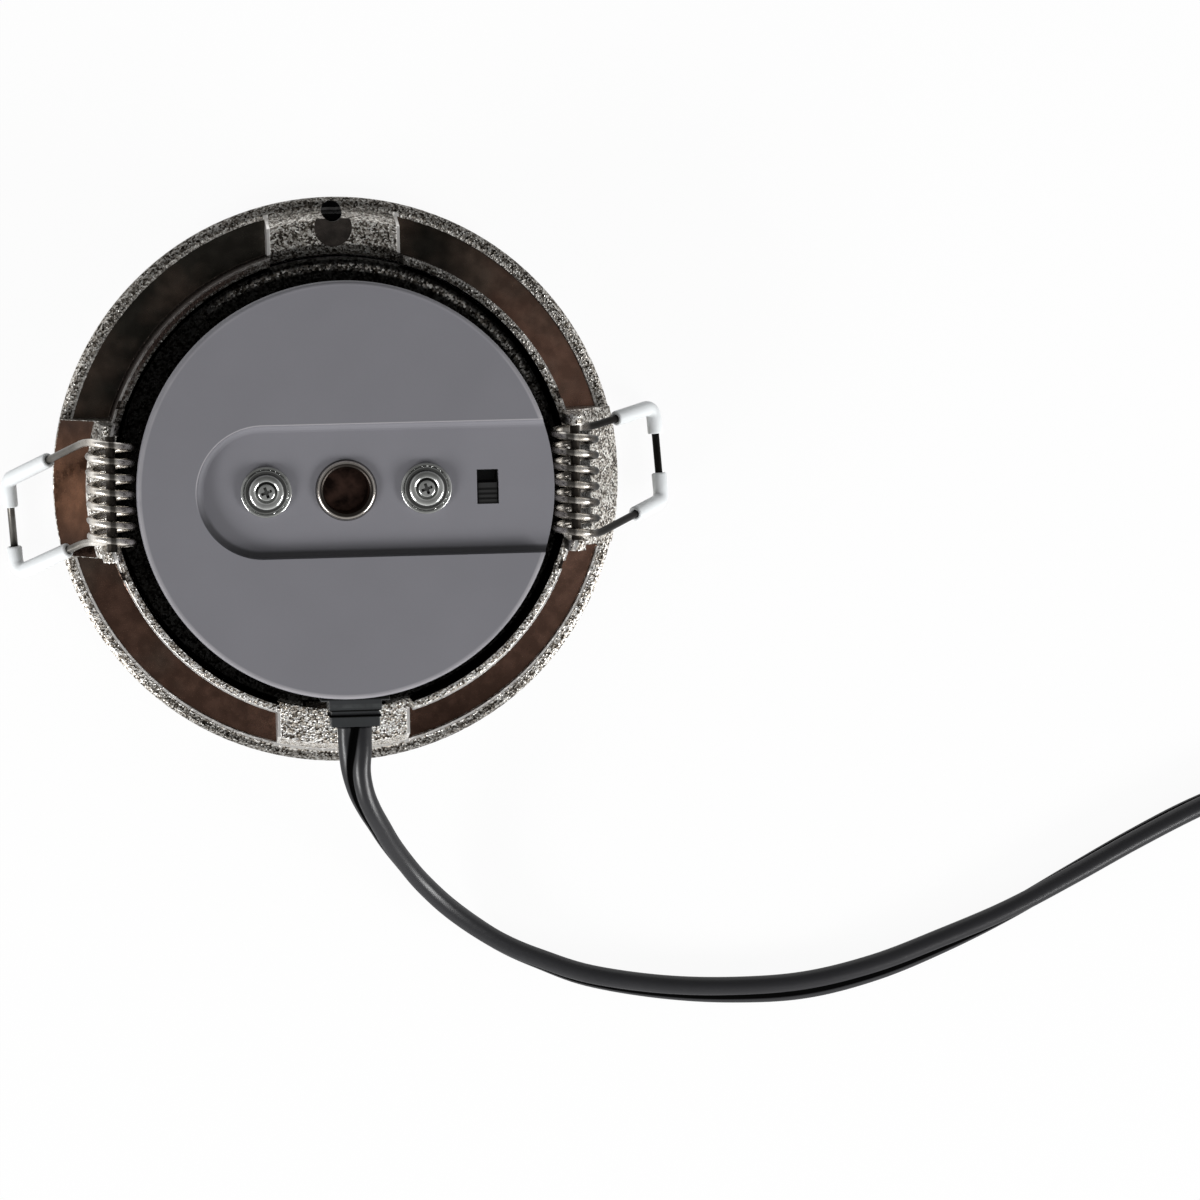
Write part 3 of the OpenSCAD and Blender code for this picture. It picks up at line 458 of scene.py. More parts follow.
def ring_mark(m, color):
    """Round mark and blind hole on the far land, and the bore; the black in the hole and the near black on the bore's
    wall are painted shade. Also where the mark is.
    """
    mark = m.product(m.below(m.away(m.x, m.y, MARK_AT), MARK_R - 0.05, MARK_R + 0.05),
                     m.band(m.z, MARK_Z - 0.2, MARK_Z + 0.3))
    hole = m.product(m.below(m.away(m.x, m.y, HOLE_AT), HOLE_R - 0.02, HOLE_R + 0.08),
                     m.below(m.z, MARK_Z - 0.3, MARK_Z - 0.1))
    bore = m.product(m.below(m.r, BORE_R + 0.02, BORE_R + 0.08), m.below(m.z, COLLAR_TOP - 0.5, COLLAR_TOP - 0.1))
    color = m.mix(mark, color, m.ramp(m.noise(1.5, 3), (0.35, (0.055, 0.048, 0.043)), (0.7, (0.10, 0.085, 0.075))))
    # Painted shade: black in the blind hole and near black on the bore's wall
    color = m.mix(hole, color, 0.006)
    color = m.mix(bore, color, m.ramp(m.noise(5), (0.4, (0.010, 0.009, 0.008)), (0.7, (0.045, 0.036, 0.028))))
    return color, mark


def ring_edge_glints(m):
    """Painted highlights on edges: the lands' ends, and in patches the edges of the collar, the rim and the left seat,
    fading toward the far side.
    """
    ends = m.product(m.band(m.wide, LAND_HALF - 0.5, LAND_HALF + 0.3, 0.06), m.band(m.r, COLLAR_R + 0.2, RIM_IN + 0.6),
                     m.above(m.z, PLATE_T + 0.2, PLATE_T + 0.6), m.below(m.z, LAND_TOP + 0.2, LAND_TOP + 0.3))
    collar = m.product(m.band(m.r, COLLAR_R - 0.3, COLLAR_R + 0.2, SHARP),
                       m.above(m.z, COLLAR_TOP - 0.6, COLLAR_TOP - 0.4))
    rim = m.product(m.band(m.r, RIM_IN - 0.2, RIM_IN + 0.4, SHARP), m.band(m.z, RIM_TOP - 0.6, RIM_TOP + 0.2))
    seat = m.product(m.band(m.r, SEAT_IN - 0.25, SEAT_IN, 0.04), m.above(m.z, 6, 7),
                     m.below(m.x, SEAT_BACK, SEAT_BACK + 1), m.below(m.y, -2, 4),
                     m.below(m.deep, SEAT_HALF - 0.1, SEAT_HALF))
    edge_glint = m.product(m.most(collar, rim, seat), m.ramp(m.noise(1.1, 3), (0.35, 0.35), (0.52, 1.0)),
                     m.ramp(m.near_to_far(), (0.45, 1.0), (0.7, 0.15)))
    return m.most(edge_glint, ends)


def ring_nickel(name):
    """Cast nickel with a sparkling grain, smooth dark pockets, painted highlights on its edges, painted light and
    shade, and a satin front.
    """
    m = Mat(name, (0.42, 0.38, 0.33), 1.0, 0.4).locate()
    color, rough, height = speckle(m, 0.27)
    # Painted light and shade over the grain and on the collar
    color = ring_collar_shade(m, ring_painted_light(m, color))
    color, smooth = ring_floors(m, color)
    rough = m.mix(smooth, rough, m.ramp(m.noise(1.2, 4), (0.35, 0.2), (0.7, 0.34)))
    color, mark = ring_mark(m, color)
    # Painted highlights along the edges, smooth there
    edge_glint = ring_edge_glints(m)
    color, rough = m.mix(edge_glint, color, EDGE_GLINT), m.mix(edge_glint, rough, 0.42)
    # The face toward the room is finely turned
    front = m.below(m.z, 0.9, 1.3)
    rings = m.noise(0.12, vector=m.add("CombineXYZ", X=m.r))
    color = m.mix(front, color, m.ramp(m.noise(6), (0.3, (0.50, 0.47, 0.43)), (0.7, (0.56, 0.53, 0.49))))
    rough = m.mix(front, rough, m.ramp(rings, (0.3, 0.26), (0.7, 0.36)))
    height = m.product(height, m.rest(m.most(smooth, front, mark, edge_glint)))
    grainy = m.bump(height, 0.8, 0.12)
    return m.finish(color, rough, m.bump(m.product(m.noise(3.0), smooth), 0.5, 0.12, Normal=grainy))


def shaded_nickel(name):
    """Nickel grain darkened almost to black as painted shade in the gap round the head, with sparse bright grains
    painted as highlights, most of them on the ridge's far side.
    """
    m = Mat(name, (0.08, 0.07, 0.06), 1.0, 0.4).locate()
    color, rough, height = speckle(m, 0.32)
    grain = m.add("SeparateColor", 1, Color=m.cells(0.32))
    sparse = m.ramp(m.math("ADD", grain, m.math("MULTIPLY", m.noise(4), 0.5)), (0.75, 0.16), (1.0, 0.95))
    lit = m.math("ADD", m.y, m.math("MULTIPLY", m.x, 0.3))
    ridge = m.band(m.r, GIMBAL_RIDGE_R - 0.5, GIMBAL_RIDGE_R + 0.4, 0.3)
    # Painted shade over all, and painted highlights where the ridge's far side is lit
    factor = m.math("ADD", 0.03, m.product(sparse, m.above(lit, 18, 33), ridge))
    return m.finish(m.times(color, factor), rough, m.bump(height, 0.5, 0.1))


def spring_wire(name):
    """Drawn spring steel, with painted highlights in dashes on the coils and painted shade along the legs."""
    m = Mat(name, (0.36, 0.33, 0.29), 1.0, 0.18).locate()
    right = m.math("MULTIPLY", m.above(m.x, *RIGHT_LEG), 0.95)
    left = m.math("MULTIPLY", m.below(m.x, *LEFT_LEG), 0.7)
    # Painted highlights: across each coil the light falls in two rows of dashes, on either side of its top, with the
    # wire between painted dark
    across = m.math("DIVIDE", m.math("SUBTRACT", m.wide, COIL_X * MM), COIL_D * MM)
    across = m.math("ADD", across, 0.5)
    dashes = m.mix(m.above(m.x, -1, 1),
                   m.ramp(across, (0.04, 0.1), (0.10, 0.9), (0.38, 1.0), (0.44, 0.1), (0.52, 0.1), (0.57, 0.8),
                          (0.86, 1.0), (0.97, 0.4)),
                   m.ramp(across, (0.03, 0.1), (0.10, 0.8), (0.24, 1.0), (0.31, 0.12), (0.44, 0.12), (0.50, 1.0),
                          (0.66, 1.0), (0.76, 0.08)))
    bright = m.ramp(m.noise(2.0, 4, 0.6), (0.36, (0.70, 0.65, 0.58)), (0.62, (1.0, 0.96, 0.90)))
    color = m.mix(dashes, (0.040, 0.033, 0.027), bright)
    # Painted shade along the legs, darkest on the right
    color = m.mix(left, color, (0.045, 0.045, 0.040))
    color = m.mix(right, color, (0.008, 0.0075, 0.007))
    fine = m.noise(0.25, 3)
    rough = m.mix(m.most(right, left), m.ramp(fine, (0.3, 0.22), (0.7, 0.32)), m.ramp(fine, (0.3, 0.3), (0.7, 0.45)))
    m.shade(Metallic=m.less(1, right, 0.9), Specular_IOR_Level=0.05)
    return m.finish(color, rough, m.bump(fine, 0.12, 0.03))


def bush_nickel(name):
    """Polished dark nickel with painted shade: dark on its top, and dark brown and rough inside the bore."""
    m = Mat(name, (0.30, 0.27, 0.24), 1.0, 0.13).locate()
    fine = m.noise(0.25, 3)
    inner = m.below(m.r, BUSH_BORE_R + 0.01, BUSH_BORE_R + 0.11)
    top = m.below(m.r, BUSH_R - 0.53, BUSH_R - 0.43)
    color = m.ramp(m.noise(2.5, 4, 0.6), (0.35, (0.50, 0.46, 0.42)), (0.6, (0.62, 0.58, 0.54)))
    brown = m.ramp(m.noise(2.6, 3), (0.35, (0.022, 0.014, 0.012)), (0.65, (0.130, 0.075, 0.058)))
    # Painted shade: dark on the top, dark brown inside the bore
    color = m.mix(inner, m.mix(top, color, (0.05, 0.043, 0.038)), brown)
    return m.finish(color, m.mix(top, m.ramp(fine, (0.3, 0.12), (0.7, 0.2)), 0.38), m.bump(fine, 0.08, 0.03))


def screw_nickel(name):
    """Bright plated screws and washers, with painted shade at the head's foot, in its dish and cross, and on its far
    side.
    """
    m = Mat(name, (0.72, 0.73, 0.71), 1.0, 0.12).locate()
    fine = m.noise(0.25, 3)
    out = m.away(m.wide, m.y, (SCREW_X, 0))
    foot = m.band(out, SCREW_HEAD_R + 0.05, SCREW_HEAD_R + 0.6)
    dish = m.product(m.band(out, 1.25, 1.75), m.below(m.z, SCREW_TOP - 0.1, SCREW_TOP + 0.1),
                     m.math("ADD", 0.25, m.math("MULTIPLY", m.above(m.y, -0.6, 0.8), 0.75)))
    cross = m.product(m.below(out, 1.15, 1.25), m.below(m.z, SCREW_TOP - 0.07, SCREW_TOP + 0.03))
    far_side = m.above(m.less(m.y, out, 0.4), 0.2, 1.2)
    # Painted shade in the creases and recesses of each head, and on its far side
    dark = m.most(m.math("MULTIPLY", foot, 0.85), m.math("MULTIPLY", m.most(dish, cross), 0.8),
                  m.math("MULTIPLY", far_side, 0.45))
    color = m.ramp(m.noise(2.5, 4, 0.6), (0.35, (0.62, 0.63, 0.61)), (0.6, (0.80, 0.81, 0.79)))
    return m.finish(m.mix(dark, color, (0.05, 0.052, 0.048)), m.ramp(fine, (0.3, 0.10), (0.7, 0.2)),
                    m.bump(fine, 0.1, 0.03))


def steel(name, color, rough):
    """Drawn or turned metal with fine marks and faint stains."""
    m = Mat(name, color, 1.0, rough)
    fine = m.noise(0.25, 3)
    stained = m.ramp(m.noise(2.5, 4, 0.6), (0.35, tuple(0.75 * c for c in color)), (0.6, color))
    return m.finish(stained, m.ramp(fine, (0.3, rough * 0.7), (0.7, min(1, rough * 1.5))), m.bump(fine, 0.12, 0.03))


def drift(m, color, vary):
    """A slight drift of a colour over about a centimetre."""
    low, high = (tuple(min(1, c * (1 + step)) for c in color) for step in (-vary, vary))
    return m.ramp(m.noise(12, 3), (0.3, low), (0.7, high))


def plastic(name, color, rough, grain_size=0.25, grain=0.12, vary=0.05):
    """Moulded plastic with a fine texture and a slight drift of tone."""
    m = Mat(name, color, 0.0, rough)
    fine = m.noise(grain_size, 3, 0.6)
    return m.finish(drift(m, color, vary), m.ramp(fine, (0.3, rough * 0.9), (0.7, min(1, rough * 1.12))),
                    m.bump(fine, grain, 0.04))


def gland_plastic(name):
    """Black plastic, with painted shade in the gland's groove and at its flange, and lighter in patches on the edge
    between.
    """
    m = Mat(name, (0.022, 0.024, 0.026), 0.0, 0.4).locate()
    out = m.math("MULTIPLY", m.y, -1)
    # Painted shade in the grooves and at the flange
    groove = m.most(*(m.band(out, *edges, 0.08) for edges in GLAND_GROOVES),
                    m.below(out, GLAND_FLANGE - 0.2, GLAND_FLANGE + 0.2))
    edge = m.product(m.band(out, *GLAND_EDGE), m.ramp(m.noise(1.5, 3), (0.35, 0.2), (0.65, 0.9)), 0.5)
    color = m.ramp(m.noise(5, 3), (0.3, (0.020, 0.022, 0.023)), (0.7, (0.027, 0.029, 0.031)))
    color = m.mix(edge, m.mix(groove, color, 0.003), (0.085, 0.09, 0.09))
    m.shade(Specular_IOR_Level=m.less(0.5, groove, 0.4))
    fine = m.noise(0.3, 3, 0.6)
    return m.finish(color, m.ramp(fine, (0.3, 0.36), (0.7, 0.45)), m.bump(fine, 0.12, 0.04))


def cover_paint(name):
    """Grey paint, with painted highlights along the lip and the recess's far edge, painted shade in the recess's near
    corner and round the bush's foot, and painted light on the recess's floor.
    """
    m = Mat(name, GREY, 0.0, 0.62).locate()
    # Distance outside the recess's outline, which is round at the left and open at the right
    past = m.math("MINIMUM", m.math("ADD", m.x, RECESS_X * MM), 0)
    out = m.math("SUBTRACT", m.length(past, m.y), RECESS_R * MM)
    # 0 near the recess's near edge, 1 near its far edge
    across = m.math("ADD", 0.5, m.math("MULTIPLY", m.y, 60))
    # Painted highlight along the recess's far edge
    far_edge_highlight = m.product(m.band(out, -0.12, 0.14, 0.06), m.above(m.z, COVER_TOP - 0.4, COVER_TOP - 0.2),
                         m.ramp(across, (0.3, 0.0), (0.6, 0.8)), 0.8)
    # Painted highlight along the lip, mostly on the near side
    lip = m.product(m.band(m.r, LIP_R - 0.7, LIP_R - 0.1, 0.15), m.ramp(m.noise(8, 3), (0.3, 0.4), (0.6, 0.95)),
                    m.above(m.z, COVER_TOP - 1.3, COVER_TOP - 0.7),
                    m.ramp(m.near_to_far(), (0.58, 1.0), (0.75, 0.2)), 0.4)
    # Painted shade in the recess's near corner
    corner = m.product(m.band(out, -1.1, 0.0, 0.3), m.below(m.z, COVER_TOP - 0.4, COVER_TOP),
                       m.ramp(across, (0.2, 0.75), (0.5, 0.0)))
    # Painted shade round the bush's foot
    bush_foot_shade = m.math("MULTIPLY", m.band(m.r, BUSH_R - 0.15, BUSH_R + 0.17, 0.06), 0.9)
    # Painted light: the recess's floor, and all that lies lower, is a little lighter
    recess = m.below(m.z, RECESS_Z + 0.3, RECESS_Z + 0.7)
    color = m.times(drift(m, GREY, 0.03), m.math("ADD", 1, m.math("MULTIPLY", recess, 0.12)))
    color = m.mix(m.most(far_edge_highlight, lip), color, (0.50, 0.48, 0.50))
    color = m.mix(m.most(corner, bush_foot_shade), color, (0.012, 0.012, 0.013))
    fine = m.noise(0.22, 3, 0.6)
    return m.finish(color, m.ramp(fine, (0.3, 0.56), (0.7, 0.69)), m.bump(fine, 0.25, 0.04))


def cable_skin(name):
    """Glossy black sheath whose flanks stay black, with painted shade in its groove."""
    m = Mat(name, (0.010, 0.010, 0.012), 0.0, 0.3)
    groove = m.add("Attribute", "Fac", {"attribute_name": "groove"})
    shine = m.ramp(m.add("LayerWeight", "Facing"), (0.1, 0.6), (0.5, 0.24), (0.8, 0.03))
    m.shade(Specular_IOR_Level=m.product(shine, m.rest(groove)))
    color = m.ramp(m.noise(12, 3), (0.3, (0.009, 0.009, 0.011)), (0.7, (0.012, 0.012, 0.014)))
    fine = m.noise(0.5, 3, 0.6)
    # Painted shade: the groove is black
    return m.finish(m.mix(groove, color, 0.002), m.ramp(fine, (0.3, 0.30), (0.7, 0.38)), m.bump(fine, 0.05, 0.04))


def board(name, color, rough, track):
    """A printed board: solder mask over tracks."""
    m = Mat(name, color, 0.0, rough)
    lines = m.ramp(m.cells(4, "Distance"), (0.44, 0.0), (0.5, 1.0))
    return m.finish(m.mix(lines, color, track), rough, m.bump(lines, 0.3, 0.05))


# Maker and name of each look, its colour and roughness, a board's tracks, and for a plastic the size and
# depth of its grain and the drift of its tone
MADE = (
    (ring_nickel, "ring_nickel"),
    (shaded_nickel, "gimbal_dark"),
    (steel, "pin_steel", (0.56, 0.54, 0.5), 0.3),
    (steel, "pin_dark", (0.06, 0.052, 0.045), 0.35),
    (spring_wire, "spring_steel"),
    (plastic, "white_sleeve", (0.88, 0.91, 0.92), 0.5, 0.4, 0.1, 0.02),
    (screw_nickel, "screw_steel"),
    (steel, "sink_aluminium", (0.055, 0.048, 0.042), 0.38),
    (plastic, "opal_plastic", (0.86, 0.86, 0.83), 0.45, 0.3, 0.05, 0.01),
    (plastic, "white_plastic", (0.86, 0.86, 0.84), 0.35, 0.3, 0.08, 0.02),
    (board, "board_white", (0.80, 0.81, 0.78), 0.35, (0.72, 0.74, 0.70)),
    (plastic, "led_phosphor", (0.85, 0.62, 0.08), 0.4, 0.2, 0.1, 0.05),
    (plastic, "pad_grey", (0.5, 0.55, 0.62), 0.8, 0.3, 0.3, 0.05),
    (plastic, "sheet_cream", (0.72, 0.68, 0.52), 0.6, 0.5, 0.1, 0.04),
    (board, "board_green", (0.02, 0.14, 0.04), 0.3, (0.04, 0.22, 0.07)),
    (plastic, "component_black", (0.012, 0.012, 0.012), 0.42, 0.15, 0.15, 0.1),
    (plastic, "component_blue", (0.03, 0.09, 0.35), 0.3),
    (plastic, "component_green", (0.16, 0.3, 0.13), 0.4),
    (cover_paint, "cover_grey"),
    (bush_nickel, "bush_nickel"),
    (gland_plastic, "black_plastic"),
    (cable_skin, "cable_black"),
    (plastic, "core_brown", (0.11, 0.045, 0.02), 0.35),
    (plastic, "core_blue", (0.03, 0.09, 0.36), 0.35),
    (steel, "tinned_copper", (0.72, 0.72, 0.72), 0.25),
)
looks = {name: make(name, *values) for make, name, *values in MADE}


def dress(piece, name):
    """Gives a piece one of the looks."""
    piece.data.materials.clear()
    piece.data.materials.append(looks[name])


def place(piece, body, slot, *stands_for):
    """Rides a new piece on a body, in a look of the record, in place of some CAD nodes."""
    dress(piece, slot)
    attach(piece, body)
    if stands_for:
        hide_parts(*stands_for)


for entry in frame["record"]["subparts"]:
    dress(nodes[entry["node"]], entry["material_slot"])

# Cable

CABLE_W, CABLE_T = 5.4, 3.0
CORE_SIDE = (CABLE_W - CABLE_T) / 2
GLAND_NOSE, ON_FLOOR = (0.8, -37.3, 22.3), (25.5, -75.4, 3.2)
ROUTE = [
    (0.8, -27.5, 22.3), (0.8, -32, 22.3), GLAND_NOSE, (0.8, -41, 22.2),
    (0.9, -44.5, 21.5), (1.7, -48, 20.3), (3, -51, 18.6), (4.7, -54, 16.2),
    (6.6, -57.2, 13.4), (9, -60.6, 10.4), (12, -64.4, 7.6), (16, -68.5, 5.4),
    (20.6, -72.2, 4), ON_FLOOR, (31, -78, 2.8), (39, -81, 2.7),
    (50.6, -83.2, 2.7), (62.3, -84.1, 2.6), (74, -83.7, 2.6), (85.5, -81.2, 2.6),
    (96.5, -77.2, 2.6), (107.2, -72.6, 2.7), (117.6, -67.2, 2.8), (127.8, -61.8, 2.8),
    (138, -56.9, 2.8), (148.5, -52.9, 2.8), (159.5, -50.6, 2.5), (170.5, -50.6, 2),
    (181.5, -53.2, 1.6), (191.5, -58.2, 1.6), (200, -65.5, 1.6), (206.5, -74.5, 1.6),
    (210.5, -85, 1.6), (212, -96, 1.6),
]
# Degrees that the flat section is turned about the route, at each of its points
TURNS = [
    0, 0, 0, 25,
    50, 64, 73, 79,
    84, 88, 90, 90,
    88, 84, 79, 70,
    62, 52, 45, 48,
    56, 74, 86, 90,
    90, 76, 44, 16,
    0, 0, 0, 0,
    0, 0,
]
ROUND_STEPS, ROUTE_STEPS = 48, 8
# Points of a flat side that dip toward the groove: place across in units of CORE_SIDE, and depth
DIPS = ((0.75, 0.03), (0.5, 0.13), (0.28, 0.27), (0.1, 0.4), (-0.1, 0.4), (-0.28, 0.27), (-0.5, 0.13), (-0.75, 0.03))
# The inlet ends this far inside the sheath, and the cores start this far inside it
INLET_OVER, CORE_IN = 0.02, 0.4
# Route of the bared cores from the sheath's end: way along it, and way out to the side
CORE_WAY = [(0, 0), (-6, 0.3), (-12, 1.4), (-18, 2.6), (-24, 3.6)]
CORE_D = 2.0
# Ferrule: distance from the core's end, and radius
FERRULE = [(-0.6, 0.45), (0, 0.73), (0.15, 0.75), (6.8, 0.75), (7.0, 0.6)]


def twin_section():
    """Section of the flat cable: two round cores under one sheath, with a soft groove between them."""
    half, out = CABLE_T / 2, []
    for j in range(ROUND_STEPS):
        a = 2 * math.pi * (j + 0.5) / ROUND_STEPS
        side = 1 if math.cos(a) > 0 else -1
        out.append((half * math.cos(a) + side * CORE_SIDE, half * math.sin(a)))
    top = [(CORE_SIDE * across, half - dip) for across, dip in DIPS]
    under = [(-x, -y) for x, y in top]
    quarter = ROUND_STEPS // 4
    return out[:quarter] + top + out[quarter:3 * quarter] + under + out[3 * quarter:]


def mark_groove(piece):
    """Marks the points in the groove of the flat cable's section."""
    n, quarter, inner = ROUND_STEPS + 2 * len(DIPS), ROUND_STEPS // 4, len(DIPS) - 2
    top, under = quarter + 1, 3 * quarter + len(DIPS) + 1
    deep = set(range(top, top + inner)) | set(range(under, under + inner))
    marks = piece.data.attributes.new("groove", "FLOAT", "POINT")
    marks.data.foreach_set("value", [float(i % n in deep) for i in range(len(piece.data.vertices))])


def lay(piece, slot, node):
    """Dresses a piece of the cable or its bared ends, in place of a CAD node."""
    dress(piece, slot)
    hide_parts(node)
    return piece


def make_cable():
    first = ROUTE.index(GLAND_NOSE)
    fine = spline(np.column_stack([ROUTE[first:], TURNS[first:]]), ROUTE_STEPS)
    points, turns = [p[:3] for p in fine], [p[3] for p in fine]
    section = twin_section()
    cable = mesh_object("cable_sheath", *sweep(points, level(points), section, turns))
    mark_groove(cable)
    lay(cable, "cable_black", "cable")
    inlet = ROUTE[:first] + [(GLAND_NOSE[0], GLAND_NOSE[1] + INLET_OVER, GLAND_NOSE[2])]
    stub = mesh_object("cable_inlet", *sweep(inlet, level(inlet), section))
    mark_groove(stub)
    place(stub, "head", "cable_black")
    return cable, points


def make_cores():
    """The bared cores, and their ferrules as one piece."""
    cores, tips = [], []
    side_on = (1, 0, 0)
    for side, name in ((-1, "core_brown"), (1, "core_blue")):
        way = [np.array(ROUTE[-1], float) + (side * (CORE_SIDE + out), along, 0) for along, out in CORE_WAY]
        way[0] = way[0] + (0, CORE_IN, 0)
        points = spline(way, 5)
        core = mesh_object(name + "_wire", *sweep(points, carried(points, side_on), circle(CORE_D / 2, 24)))
        cores.append(lay(core, name, name))
        ahead = unit(way[-1] - way[-2])
        tip = [way[-1] + far * ahead for far, _ in FERRULE]
        tips.append(sweep(tip, carried(tip, side_on), [circle(r, 20) for _, r in FERRULE]))
    return cores + [lay(join("ferrule_tips", tips), "tinned_copper", "ferrules")]


cable, cable_points = make_cable()
cable_ends = make_cores()
# The cable bends between the head, at the gland, and the floor; the transforms of it and its bared ends are baked into
# their meshes
for piece in [cable] + cable_ends:
    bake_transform(piece)

# Spring clips

# Sizes of the CAD model's wire, coils, bails and sleeves. The right clip is made, with its near end -1 and far end 1
WIRE_R, COIL_R, COIL_Z = 0.6, 3.3, 20.5
COIL_TURNS, COIL_HALF = 6, 8.125
BAIL_LEN, BAIL_W, BAIL_SLANT = 23.8, 15.0, 1.3
REST = math.radians(50.5)
LEAN = {"left": 6.2, "right": 2.9}
# Way of each leg from the coil to its knee
KNEES = {-1: 2.0, 1: 8.5}
BEND_R, KNEE_R = 1.6, 1.5
SLEEVE_R, SLEEVE_BAR = 1.2, 4.4
SLEEVE_LEG = {"left": 12.0, "right": 9.5}
SLEEVE_LIP, SLEEVE_PLAY = 0.25, 0.08
# From the bend to where the wire's two ends meet, inside the sleeve
BUTT_GAP = 1.7
COIL_STEPS, WIRE_STEPS, SLEEVE_STEPS = 32, 16, 24
BAIL_DIR = np.array((math.cos(REST), 0, -math.sin(REST)))
BAIL_SIDE = np.array((math.sin(REST), 0, math.cos(REST)))


def corner(lean, side):
    """Where the leg and the bar of a bail would meet without a bend."""
    return (np.array((COIL_X, lean + side * BAIL_W / 2, COIL_Z)) + BAIL_LEN * BAIL_DIR
            - side * BAIL_SLANT / 2 * BAIL_SIDE)


def leave_angle(lean, side):
    """Angle on the coil at which a leg leaves it."""
    c = corner(lean, side) - (COIL_X, 0, COIL_Z)
    return math.atan2(c[2], c[0]) - side * math.acos(COIL_R / math.hypot(c[0], c[2]))


def on_coil(a, y):
    return np.array((COIL_X + COIL_R * math.cos(a), y, COIL_Z + COIL_R * math.sin(a)))


def knee(lean, side):
    """Where a leg turns from the coil's end toward its corner."""
    start, end = on_coil(leave_angle(lean, side), side * COIL_HALF), corner(lean, side)
    along = unit(np.array((end[0] - start[0], 0, end[2] - start[2])))
    return start + KNEES[side] * along


def bend(a, c, b, n):
    """Points of a bend at corner c, between the points a and b."""
    u, v = unit(a - c), unit(b - c)
    half = math.acos(float(u.dot(v))) / 2
    w = unit(u + v)
    middle = c + BEND_R / math.sin(half) * w
    p = unit(u - u.dot(w) * w)
    reach = math.pi / 2 - half
    steps = [reach * (1 - 2 * i / n) for i in range(n + 1)]
    return [middle + BEND_R * (math.sin(s) * p - math.cos(s) * w) for s in steps]


def turn_at(lean, side, n=10):
    return bend(knee(lean, side), corner(lean, side), corner(lean, -side), n)


def rounded(points, n=6):
    """A leg's route with its knee turned into a short bend."""
    out = [points[0]]
    for a, c, b in zip(points, points[1:], points[2:]):
        start, end = c + KNEE_R * unit(a - c), c + KNEE_R * unit(b - c)
        for i in range(n + 1):
            t = i / n
            out.append((1 - t) ** 2 * start + 2 * t * (1 - t) * c + t * t * end)
    out.append(points[-1])
    return out


def wire_route(lean):
    """One wire from inside the back sleeve, round the bail, through the coil and back."""
    first = leave_angle(lean, -1)
    last = leave_angle(lean, 1) + 2 * math.pi * (COIL_TURNS + 1)
    steps = int(math.ceil((last - first) / (2 * math.pi) * COIL_STEPS))
    coil = [on_coil(first + (last - first) * i / steps, COIL_HALF * (2 * i / steps - 1)) for i in range(steps + 1)]
    bar = unit(corner(lean, -1) - corner(lean, 1))
    back, front = turn_at(lean, 1), turn_at(lean, -1)[::-1]
    start = back[-1] + BUTT_GAP * bar
    one = rounded([front[-1], knee(lean, -1), coil[0]])
    two = rounded([coil[-1], knee(lean, 1), back[0]])
    return [start] + front + one[1:-1] + coil + two[1:-1] + back


def sleeve_mesh(lean, side, arm):
    """One soft sleeve: an L-shaped tube with rounded mouths and a bore round the wire."""
    c = corner(lean, side)
    leg_dir, bar_dir = unit(knee(lean, side) - c), unit(corner(lean, -side) - c)
    arc = turn_at(lean, side, 12)
    core = [c + arm * leg_dir] + arc + [c + SLEEVE_BAR * bar_dir]
    # Out at one mouth, along the outside, in at the other mouth, and back along the bore
    outer, inner = SLEEVE_R, WIRE_R + SLEEVE_PLAY
    lip, part = SLEEVE_LIP, 0.6 * SLEEVE_LIP
    a0, a1 = core[0], core[0] - lip * leg_dir
    b0, b1 = core[-1], core[-1] - lip * bar_dir
    path = [a0, a0, a1 + part * leg_dir, a1] + arc + [b1, b1 + part * bar_dir, b0, b0]
    mouth = [inner, outer - lip, outer - 0.35 * lip, outer]
    radii = mouth + [outer] * len(arc) + mouth[::-1]
    sides, dirs = ([way[0]] * 4 + way[1:-1] + [way[-1]] * 4 for way in (carried(core, BAIL_SIDE), headings(core)))
    loop = list(zip(path, radii, sides, dirs))
    loop += [(p, inner, s, t) for p, s, t in zip(arc, sides[4:-4], dirs[4:-4])][::-1]
    n, count = SLEEVE_STEPS, len(loop)
    verts, faces = [], []
    for p, r, s, t in loop:
        u = np.cross(t, s)
        verts += [p + r * (x * s + y * u) for x, y in circle(1, n)]
    for i in range(count):
        k = (i + 1) % count
        for j in range(n):
            m = (j + 1) % n
            faces.append((i * n + j, i * n + m, k * n + m, k * n + j))
    return verts, faces


def turned(verts, side):
    """The left clip is the right one turned half a turn about Z."""
    return verts if side == "right" else [(-v[0], -v[1], v[2]) for v in verts]


def make_clip(side):
    lean, body = LEAN[side], "clip_" + side
    route = wire_route(lean)
    verts, faces = sweep(route, carried(route, BAIL_SIDE), circle(WIRE_R, WIRE_STEPS))
    wire = mesh_object("wire_" + side, turned(verts, side), faces)
    place(wire, body, "spring_steel", "spring_" + side)
    ends = {"right": {1: "back", -1: "front"}, "left": {1: "front", -1: "back"}}[side]
    for end, where in ends.items():
        verts, faces = sleeve_mesh(lean, end, SLEEVE_LEG[side])
        sleeve = mesh_object("tube_%s_%s" % (side, where), turned(verts, side), faces)
        place(sleeve, body, "white_sleeve", "sleeve_%s_%s" % (side, where))


make_clip("left")
make_clip("right")

# Screws and washers

WASHER_T = 0.5
SCREW_SEAT = RECESS_Z + WASHER_T
# Profile of a screw from its tip: radius, and height over the washer
SHANK = [(0, -8), (0.9, -8), (1.45, -7.2), (1.45, 0), (2.6, 0)]
DISH = [(1.52, 0.62), (1.47, 0.60), (1.42, 0.66)]
BUTTON_TOP = (0, 1.1)
